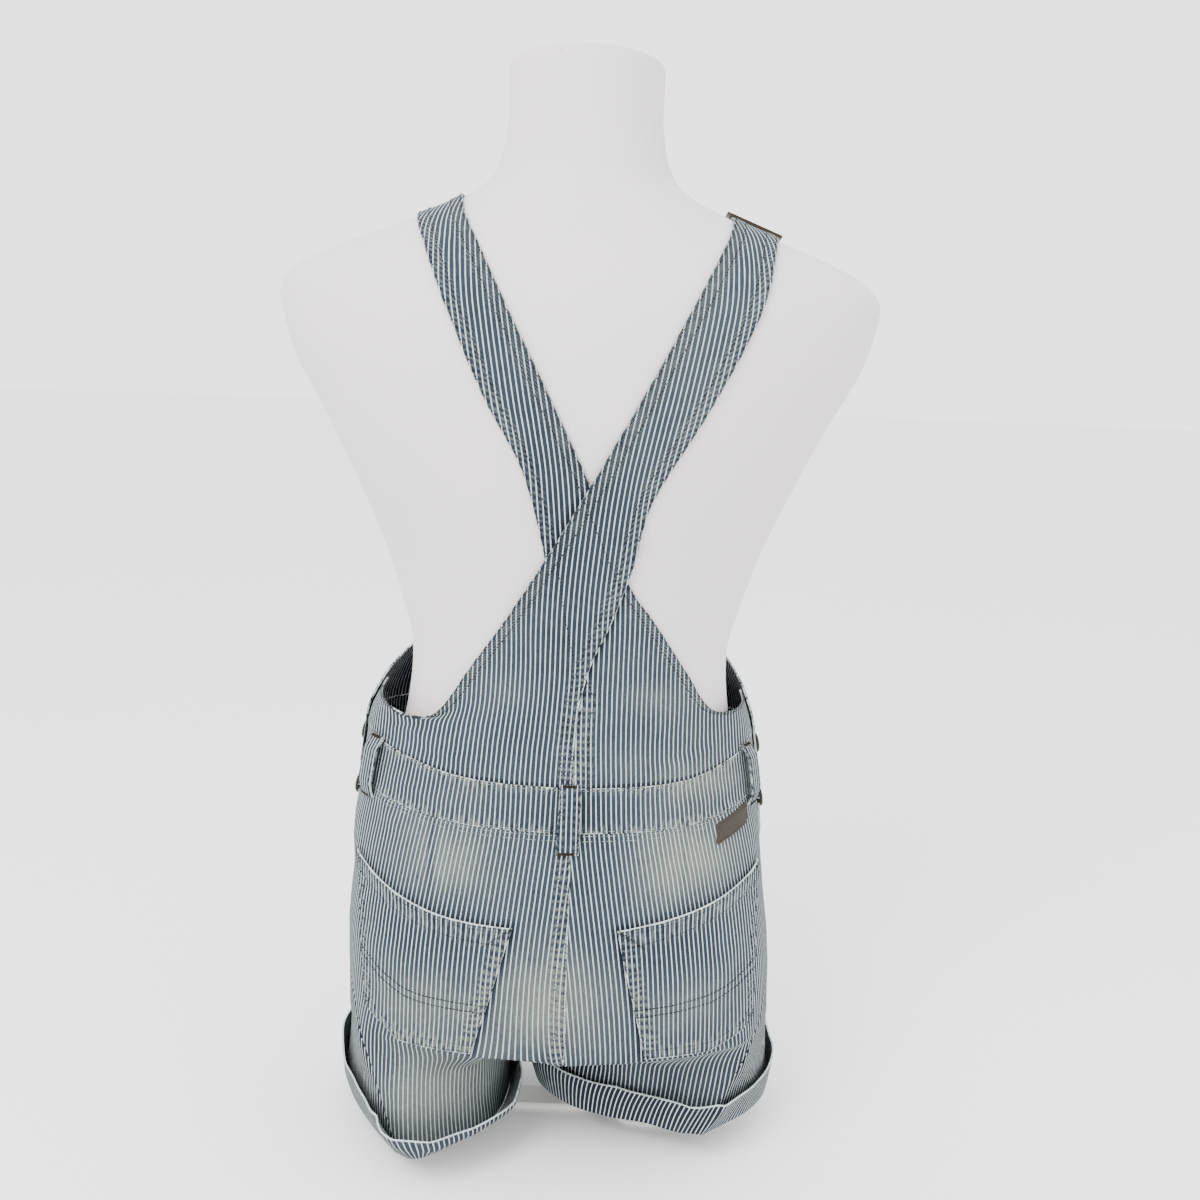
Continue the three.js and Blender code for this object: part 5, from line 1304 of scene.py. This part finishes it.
class DUNGAREES_OT_form(bpy.types.Operator):
    """Builds the dress form's smooth jersey-covered body"""

    bl_idname = "dungarees.form"
    bl_label = "Dress Form"

    def execute(self, context):
        mesh = form_mesh()
        piece = add_object("dress_form_cover", mesh, jersey_material("jersey", cloth_settings()))
        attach(piece, "root")
        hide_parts("dress_form")
        return {"FINISHED"}


def form_mesh():
    """The form's cover, as rings round the body that close at a point above and below"""
    heights = [(z, 0) for z in np.linspace(131, 883, FORM_RINGS)]
    rows = np.array(FORM_FOOT + heights + FORM_NECK)
    angle = np.linspace(0, 2 * np.pi, FORM_SIDES, endpoint=False)[None, :]
    reach = [c[:, None] for c in ring(rows[:, 0], -rows[:, 1], worn=False)]
    x, y = at_angle(reach, angle + 0 * reach[0])
    z = rows[:, :1] - 0.09 * smooth(820, FORM_TOP, rows[:, :1]) * y
    grid = np.stack([x, y, z], axis=-1)
    last = (len(rows) - 1) * FORM_SIDES
    vertices = np.concatenate([grid.reshape(-1, 3), [(0, 0, FORM_BOTTOM), (0, 0, FORM_TOP + 1)]]) * MM
    foot = len(vertices) - 2
    index = np.arange(len(rows) * FORM_SIDES).reshape(len(rows), FORM_SIDES)
    index = np.concatenate([index, index[:, :1]], axis=1)
    quads = np.stack([index[:-1, :-1], index[:-1, 1:], index[1:, 1:], index[1:, :-1]], axis=-1)
    faces = [tuple(q) for q in quads.reshape(-1, 4).tolist()]
    for j in range(FORM_SIDES):
        faces.append((foot, (j + 1) % FORM_SIDES, j))
        faces.append((foot + 1, last + j, last + (j + 1) % FORM_SIDES))
    mesh = bpy.data.meshes.new("dress_form_cover")
    mesh.from_pydata(vertices.tolist(), [], facing_out(vertices, faces))
    return mesh


class DUNGAREES_OT_legs(bpy.types.Operator):
    """Builds the four leg panels"""

    bl_idname = "dungarees.legs"
    bl_label = "Leg Panels"

    def execute(self, context):
        for side in ("left", "right"):
            back = leg_grid(side, "back")
            pocket = pocket_grid(side)
            shadow = shadow_of(back, np.concatenate([pocket[-1], pocket[:, 0]]), POCKET_SHADE)
            lean = seat_lean(side, back)
            add_cloth(f"back_{side}", f"back_{side}", back, lean, shadow=shadow)
            front = leg_grid(side, "front")
            z = front[..., 2]
            swing = 34 * (1 - smooth(60, 180, z)) * (1 - smooth(-110, -20, front[..., 1]))
            lean = swing if side == "left" else -0.2 * swing
            add_cloth(f"front_{side}", "front", front, lean)
        return {"FINISHED"}


class DUNGAREES_OT_turnups(bpy.types.Operator):
    """Builds the two turned-up hems"""

    bl_idname = "dungarees.turnups"
    bl_label = "Turn-ups"

    def execute(self, context):
        settings = cloth_settings()
        for side in ("left", "right"):
            grid = cuff_grid(side)
            normal = side_sign(side) * grid_normals(grid, True)
            steps = np.linalg.norm(np.diff(grid, axis=0), axis=-1)
            up = np.concatenate([0 * steps[:1], np.cumsum(steps, axis=0)])
            around = np.linalg.norm(np.roll(grid, -1, axis=1) - grid, axis=-1)[MIDDLE_ROW]
            pitch, length = settings.stripe_pitch, around.sum()
            run = np.concatenate([[0], np.cumsum(around)[:-1]]) * (round(length / pitch) * pitch / length)
            cloth = np.stack([run[None, :] + 0.10 * up, up], axis=-1)
            rim = up[-1:] - up
            wear = np.maximum(0.18, 1.75 * (1 - smooth(0.5, 1.3, rim)))
            wash = washed(grid, TURNUP_FADE, wear)
            wash[..., 1] *= 0.5
            layers = {"cloth": cloth, "hem": np.stack([cloth[..., 0], rim], axis=-1)}
            piece = add_wrapped(f"turnup_{side}", grid, normal, layers, wash, denim(settings))
            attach(piece, "root")
            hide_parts(f"turnup_{side}")
        return {"FINISHED"}


def add_wrapped(name, grid, normal, layers, wash, material):
    """A closed loop of cloth, whose cloth coordinates run on at the join"""
    mesh, corners = shell_mesh(name, grid, normal, TURNUP_SHELL, True)
    rows, columns = grid.shape[:2]
    row, col = np.divmod(corners % (rows * columns), columns)
    starts = np.repeat(np.arange(len(mesh.polygons)), 4)
    first, last = (np.zeros(len(mesh.polygons), bool) for _ in range(2))
    np.logical_or.at(first, starts, col == 0)
    np.logical_or.at(last, starts, col == columns - 1)
    col = np.where((last & first)[starts] & (col == 0), columns, col)
    join = np.linalg.norm(grid[MIDDLE_ROW, 0] - grid[MIDDLE_ROW, -1])
    for layer, values in layers.items():
        values = np.concatenate([values, values[:, :1]], axis=1)
        values[:, -1, 0] = values[:, -2, 0] + join
        set_uv(mesh, layer, values[row, col])
    set_wash_and_shade(mesh, wash, INSIDE["turnup"])
    return add_object(name, mesh, material)


class DUNGAREES_OT_waistband(bpy.types.Operator):
    """Builds the waistband's back and front pieces"""

    bl_idname = "dungarees.waistband"
    bl_label = "Waistband"

    def execute(self, context):
        for piece in ("back", "front"):
            grid = band_grid(piece)
            lean = 5 * waves(grid * np.array([1, 1, 0.3]), 26, 21)
            add_cloth(f"waistband_{piece}", "waistband", grid, lean)
        return {"FINISHED"}


class DUNGAREES_OT_straps(bpy.types.Operator):
    """Builds the two half backs with their crossed straps"""

    bl_idname = "dungarees.straps"
    bl_label = "Half Backs and Straps"

    def execute(self, context):
        over = strap_grid(STRAP_OVER, True)
        crossed = strap_grid(STRAP_UNDER, False)
        shadow = 0
        for row in CROSSING_SHADE:
            shadow = shadow + shadow_of(crossed, over[row["first"]:row["last"], row["edge"]], row["width"])
        self.add_half("yoke_left_strap_right", over, -1, 0.0)
        self.add_half("yoke_right_strap_left", crossed, 1, shadow)
        return {"FINISHED"}

    def add_half(self, name, grid, way, shadow):
        """A half back, whose stripes stand upright at the waist and turn to follow the strap"""
        z = grid[..., 2]
        share = np.arange(len(grid))[:, None] / (len(grid) - 1) + 0 * z
        far = smooth(70, 150, np.abs(grid[..., 0])) * (1 - smooth(385, 420, z))
        lean = way * 30 * far * smooth(340, 372, z) - way * 5 * smooth(430, 520, z)
        turn = -way * STRAP_TURN * (1 - smooth(*STRAP_STRAIGHT, share))
        strap = (smooth(*STRAP_FOLLOW, share), turn)
        add_cloth(name, "half_back", grid, lean, strap, shadow)


class DUNGAREES_OT_bib(bpy.types.Operator):
    """Builds the bib"""

    bl_idname = "dungarees.bib"
    bl_label = "Bib"

    def execute(self, context):
        grid = bib_grid()
        add_cloth("bib", "bib", grid, 0 * grid[..., 0])
        return {"FINISHED"}


class DUNGAREES_OT_pockets(bpy.types.Operator):
    """Builds the back pockets"""

    bl_idname = "dungarees.pockets"
    bl_label = "Back Pockets"

    def execute(self, context):
        for side in ("left", "right"):
            grid = pocket_grid(side)
            share = np.linspace(0, 1, grid.shape[1])[None, :] + 0 * grid[..., 0]
            lean = -side_sign(side) * (6.5 - 6 * smooth(0, 0.55, share))
            add_cloth(f"pocket_{side}", "pocket", grid, lean)
        return {"FINISHED"}


class DUNGAREES_OT_patch_and_loops(bpy.types.Operator):
    """Builds the bare patch and the belt loops"""

    bl_idname = "dungarees.patch_and_loops"
    bl_label = "Patch and Belt Loops"

    def execute(self, context):
        settings = cloth_settings()
        for name in LOOPS:
            grid = loop_grid(name)
            add_cloth(name, "loop", grid, 0 * grid[..., 0])
        grid = patch_grid()
        blank = np.zeros((*grid.shape[:2], 3))
        layers = {"cloth": blank[..., :2], "hem": blank[..., :2]}
        leather = plain_material("leather", settings.leather, 0.55, grain=0.35, scale=420.0, relief=0.0006)
        piece = add_shell("leather_patch", grid, outward_normals(grid), PATCH_SHELL, layers, blank, leather)
        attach(piece, "root")
        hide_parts("leather_patch")
        return {"FINISHED"}


class DUNGAREES_OT_hardware(bpy.types.Operator):
    """Gives the sliders, hooks, buttons and the stand their finish"""

    bl_idname = "dungarees.hardware"
    bl_label = "Metal and Stand"

    def execute(self, context):
        settings = cloth_settings()
        bronze = plain_material("bronze", settings.bronze, 0.42, 1.0, 0.5, 700.0, 0.0002)
        paint = plain_material("stand_paint", settings.stand, 0.45, 0.0, 0.04, 60.0, 0.00005)
        for name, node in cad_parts.items():
            metal = any(word in name for word in ("slider", "hook", "button"))
            if metal or name.startswith(("foot", "crossbar", "post")):
                node.data.materials.clear()
                node.data.materials.append(bronze if metal else paint)
        return {"FINISHED"}


def row_along(name, edge, distance, start=0.0, end=1.0, lift=STITCH_LIFT):
    """Guide points on a piece at a distance inside one of its edges, from start to end of that edge"""
    grid, normal = PANELS[name]
    near = edge_distance(grid)[edge]
    if edge in ("start", "end"):
        near, grid, normal = near.T, grid.swapaxes(0, 1), normal.swapaxes(0, 1)
    if edge in ("end", "high"):
        near, grid, normal = near[::-1], grid[::-1], normal[::-1]
    lines = near.shape[1]
    k = np.clip((near < distance).sum(axis=0) - 1, 0, len(near) - 2)
    j = np.arange(lines)
    t = ((distance - near[k, j]) / np.maximum(near[k + 1, j] - near[k, j], 1e-6))[:, None]
    points = grid[k, j] * (1 - t) + grid[k + 1, j] * t + normal[k, j] * lift
    low, high = int(start * (lines - 1)), int(end * (lines - 1))
    return points[low:high + 1]


def line_across(name, places, lift=STITCH_LIFT, steps=60):
    """Guide points on a piece along a path given in shares of its rows and columns"""
    grid, normal = PANELS[name]
    places = np.array(places, float)
    t = np.linspace(0, len(places) - 1, steps)
    row, col = (np.interp(t, range(len(places)), places[:, k]) * (grid.shape[k] - 1) for k in (0, 1))
    i, j = np.minimum(row.astype(int), grid.shape[0] - 2), np.minimum(col.astype(int), grid.shape[1] - 2)
    a, b = (row - i)[:, None], (col - j)[:, None]
    low = grid[i, j] * (1 - b) + grid[i, j + 1] * b
    high = grid[i + 1, j] * (1 - b) + grid[i + 1, j + 1] * b
    return low * (1 - a) + high * a + normal[i, j] * lift


def pressed_through(name, points):
    """The part of a line that lies under a piece's back, brought up to that piece's face"""
    grid, normal = (a.reshape(-1, 3) for a in PANELS[name])
    points = points[(points[:, 1] < 0) & (points[:, 2] < 620)]
    gaps = np.linalg.norm(points[:, None] - grid[None], axis=-1)
    nearest = gaps.argmin(axis=1)
    covered = gaps.min(axis=1) < COVERED
    points, face, way = points[covered], grid[nearest[covered]], normal[nearest[covered]]
    return points + way * (((face - points) * way).sum(-1, keepdims=True) + STITCH_LIFT)


def stitch_tree():
    """Geometry nodes that set a stitch at even steps along each guide line"""
    tree = bpy.data.node_groups.get("stitch_rows")
    if tree:
        return tree
    tree = bpy.data.node_groups.new("stitch_rows", "GeometryNodeTree")
    add = tree.interface.new_socket
    add("Guides", in_out="INPUT", socket_type="NodeSocketGeometry")
    add("Pitch", in_out="INPUT", socket_type="NodeSocketFloat")
    add("Width", in_out="INPUT", socket_type="NodeSocketFloat")
    add("Share", in_out="INPUT", socket_type="NodeSocketFloat")
    add("Thread", in_out="INPUT", socket_type="NodeSocketMaterial")
    add("Stitches", in_out="OUTPUT", socket_type="NodeSocketGeometry")
    source = tree.nodes.new("NodeGroupInput")
    maker = Wire(tree, None)
    given = {output.name: Wire(tree, output) for output in source.outputs if output.name}
    line = maker.node("GeometryNodeMeshToCurve", {}, {"Mesh": given["Guides"]})
    even = {"Curve": line, "Length": given["Pitch"]}
    points = maker.node("GeometryNodeResampleCurve", {"mode": "LENGTH"}, even)
    tangent = maker.node("GeometryNodeInputTangent")
    turn = maker.node("FunctionNodeAlignRotationToVector", {"axis": "Z"}, {"Vector": tangent})
    ball = maker.node("GeometryNodeMeshUVSphere", {}, {"Segments": 6, "Rings": 4, "Radius": 0.5})
    jitter = maker.node(
        "FunctionNodeRandomValue", {"data_type": "FLOAT"}, {2: 0.82, 3: 1.12, "Seed": 7}, out=1)
    width = given["Width"] * jitter
    size = vector_of(maker, width, width, given["Pitch"] * given["Share"] * jitter)
    sockets = {"Points": points, "Instance": ball, "Rotation": turn, "Scale": size}
    rows = maker.node("GeometryNodeInstanceOnPoints", {}, sockets)
    solid = maker.node("GeometryNodeRealizeInstances", {}, {0: rows})
    done = maker.node("GeometryNodeSetMaterial", {}, {"Geometry": solid, "Material": given["Thread"]})
    tree.links.new(done.socket, tree.nodes.new("NodeGroupOutput").inputs[0])
    return tree


def add_stitches(name, lines, thread, pitch, width, share):
    """Stitches along guide lines given in millimetres, as one piece"""
    vertices, edges = [], []
    for line in lines:
        start = len(vertices)
        vertices += (np.asarray(line) * MM).tolist()
        edges += [(k, k + 1) for k in range(start, len(vertices) - 1)]
    guide = bpy.data.meshes.new(name + "_guide")
    guide.from_pydata(vertices, edges, [])
    piece = bpy.data.objects.new(name, guide)
    bpy.context.scene.collection.objects.link(piece)
    modifier = piece.modifiers.new("stitches", "NODES")
    modifier.node_group = stitch_tree()
    ids = {item.name: item.identifier for item in modifier.node_group.interface.items_tree}
    for key, value in (("Pitch", pitch), ("Width", width), ("Share", share), ("Thread", thread)):
        modifier[ids[key]] = value
    view = bpy.context.evaluated_depsgraph_get()
    mesh = bpy.data.meshes.new_from_object(piece.evaluated_get(view))
    piece.modifiers.clear()
    piece.data = mesh
    mesh.shade_smooth()
    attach(piece, "root")
    return piece


class DUNGAREES_OT_stitching(bpy.types.Operator):
    """Sews the topstitching and the bar tacks"""

    bl_idname = "dungarees.stitching"
    bl_label = "Topstitching"

    def execute(self, context):
        settings = cloth_settings()
        threads = {tone: self.thread(settings, tone) for tone in ("dark", "pale", "brown")}
        for name, sewn in THREADS.items():
            pitch = sewn.get("step", settings.stitch_pitch * sewn.get("pitch", 1.0))
            width, share = sewn.get("width", STITCH_WIDTH), sewn.get("share", STITCH_SHARE)
            add_stitches(name, self.lines(name), threads[sewn["thread"]], pitch, width, share)
        return {"FINISHED"}

    def lines(self, name):
        """Guide lines of one group of stitches"""
        if name == "pocket_topstitch":
            return [
                line_across(f"pocket_{side}", [(height, 0.0), (height, 1.0)])
                for side in ("left", "right") for height in TOPSTITCH_ROWS
            ]
        lift = TACK_LIFT if name == "bar_tacks" else STITCH_LIFT
        lines = [
            row_along(piece, edge, distance, *part, lift)
            for pieces, edges, distances, part in SEWN[name]
            for piece in pieces for edge in edges for distance in distances
        ]
        if name == "stitching_straps":
            hidden = [row_along(HALVES[1], edge, HIDDEN_ROW) for edge in ("start", "end")]
            lines += [pressed_through(HALVES[0], line) for line in hidden]
        return lines

    def thread(self, settings, tone):
        """A thread's material"""
        return plain_material(f"thread_{tone}", getattr(settings, f"thread_{tone}"), 0.8)


def add_area_light(name, place, target, size, power):
    """A square soft light that faces a target"""
    data = bpy.data.lights.new(name, "AREA")
    data.energy = power
    data.size = size
    light = bpy.data.objects.new(name, data)
    bpy.context.scene.collection.objects.link(light)
    light.location = place
    light.rotation_euler = (Vector(target) - Vector(place)).to_track_quat("-Z", "Y").to_euler()
    return light


class DUNGAREES_OT_stage(bpy.types.Operator):
    """Sets the floor, the soft lights and the camera"""

    bl_idname = "dungarees.stage"
    bl_label = "Stage"

    def execute(self, context):
        stage = context.scene.dungarees_stage
        angles = np.linspace(0, 2 * np.pi, FLOOR_SIDES, endpoint=False)
        rim = [(FLOOR_RADIUS * math.cos(a), FLOOR_RADIUS * math.sin(a), 0) for a in angles]
        mesh = bpy.data.meshes.new("floor")
        mesh.from_pydata(rim, [], [tuple(range(FLOOR_SIDES))])
        floor = bpy.data.objects.new("floor", mesh)
        mesh.materials.append(plain_material("floor", stage.floor_colour, 0.9, 0.0, 0.01, 3.0, 0.0))
        context.scene.collection.objects.link(floor)
        world = bpy.data.worlds.new("surround")
        world.use_nodes = True
        world.node_tree.nodes["Background"].inputs["Color"].default_value = (1, 1, 1, 1)
        world.node_tree.nodes["Background"].inputs["Strength"].default_value = stage.surround
        context.scene.world = world
        for name, power in (("key", stage.key_power), ("fill", stage.fill_power)):
            add_area_light(name, **LIGHTS[name], power=power)
        self.place_camera(context, stage)
        return {"FINISHED"}

    def place_camera(self, context, stage):
        """Camera at the photograph's viewing angle, looking down and a little rolled"""
        p, r = stage.camera_pitch, stage.camera_roll
        ahead = Vector((0, math.cos(p), -math.sin(p)))
        right = Vector((1, 0, 0))
        up = right.cross(ahead)
        x = right * math.cos(r) + up * math.sin(r)
        y = up * math.cos(r) - right * math.sin(r)
        data = bpy.data.cameras.new("camera")
        data.lens = LENS
        data.sensor_width = LENS
        camera = bpy.data.objects.new("camera", data)
        axes = Matrix((x, y, -ahead)).transposed().to_4x4()
        place = (stage.camera_side, -stage.camera_distance, stage.camera_height)
        camera.matrix_world = Matrix.Translation(place) @ axes
        context.scene.collection.objects.link(camera)
        context.scene.camera = camera


class DUNGAREES_PT_panel(bpy.types.Panel):
    """Lists the sizes, the colours and the steps of the build"""

    bl_label = "Dungarees"
    bl_idname = "DUNGAREES_PT_panel"
    bl_space_type = "VIEW_3D"
    bl_region_type = "UI"
    bl_category = "Dungarees"

    def draw(self, context):
        for group in (context.scene.dungarees_cloth, context.scene.dungarees_stage):
            for name in group.__annotations__:
                self.layout.prop(group, name)
        for step in STEPS:
            self.layout.operator(step.bl_idname)


STEPS = (
    DUNGAREES_OT_form, DUNGAREES_OT_legs, DUNGAREES_OT_turnups, DUNGAREES_OT_waistband, DUNGAREES_OT_straps,
    DUNGAREES_OT_bib, DUNGAREES_OT_pockets, DUNGAREES_OT_patch_and_loops, DUNGAREES_OT_hardware,
    DUNGAREES_OT_stitching, DUNGAREES_OT_stage,
)
CLASSES = (DungareesCloth, DungareesStage, *STEPS, DUNGAREES_PT_panel)


def register():
    for cls in CLASSES:
        bpy.utils.register_class(cls)
    bpy.types.Scene.dungarees_cloth = PointerProperty(type=DungareesCloth)
    bpy.types.Scene.dungarees_stage = PointerProperty(type=DungareesStage)


def unregister():
    del bpy.types.Scene.dungarees_stage
    del bpy.types.Scene.dungarees_cloth
    for cls in reversed(CLASSES):
        bpy.utils.unregister_class(cls)


def main():
    """Builds everything"""
    register()
    for step in STEPS:
        group, name = step.bl_idname.split(".")
        getattr(getattr(bpy.ops, group), name)()


if __name__ == "__main__":
    main()
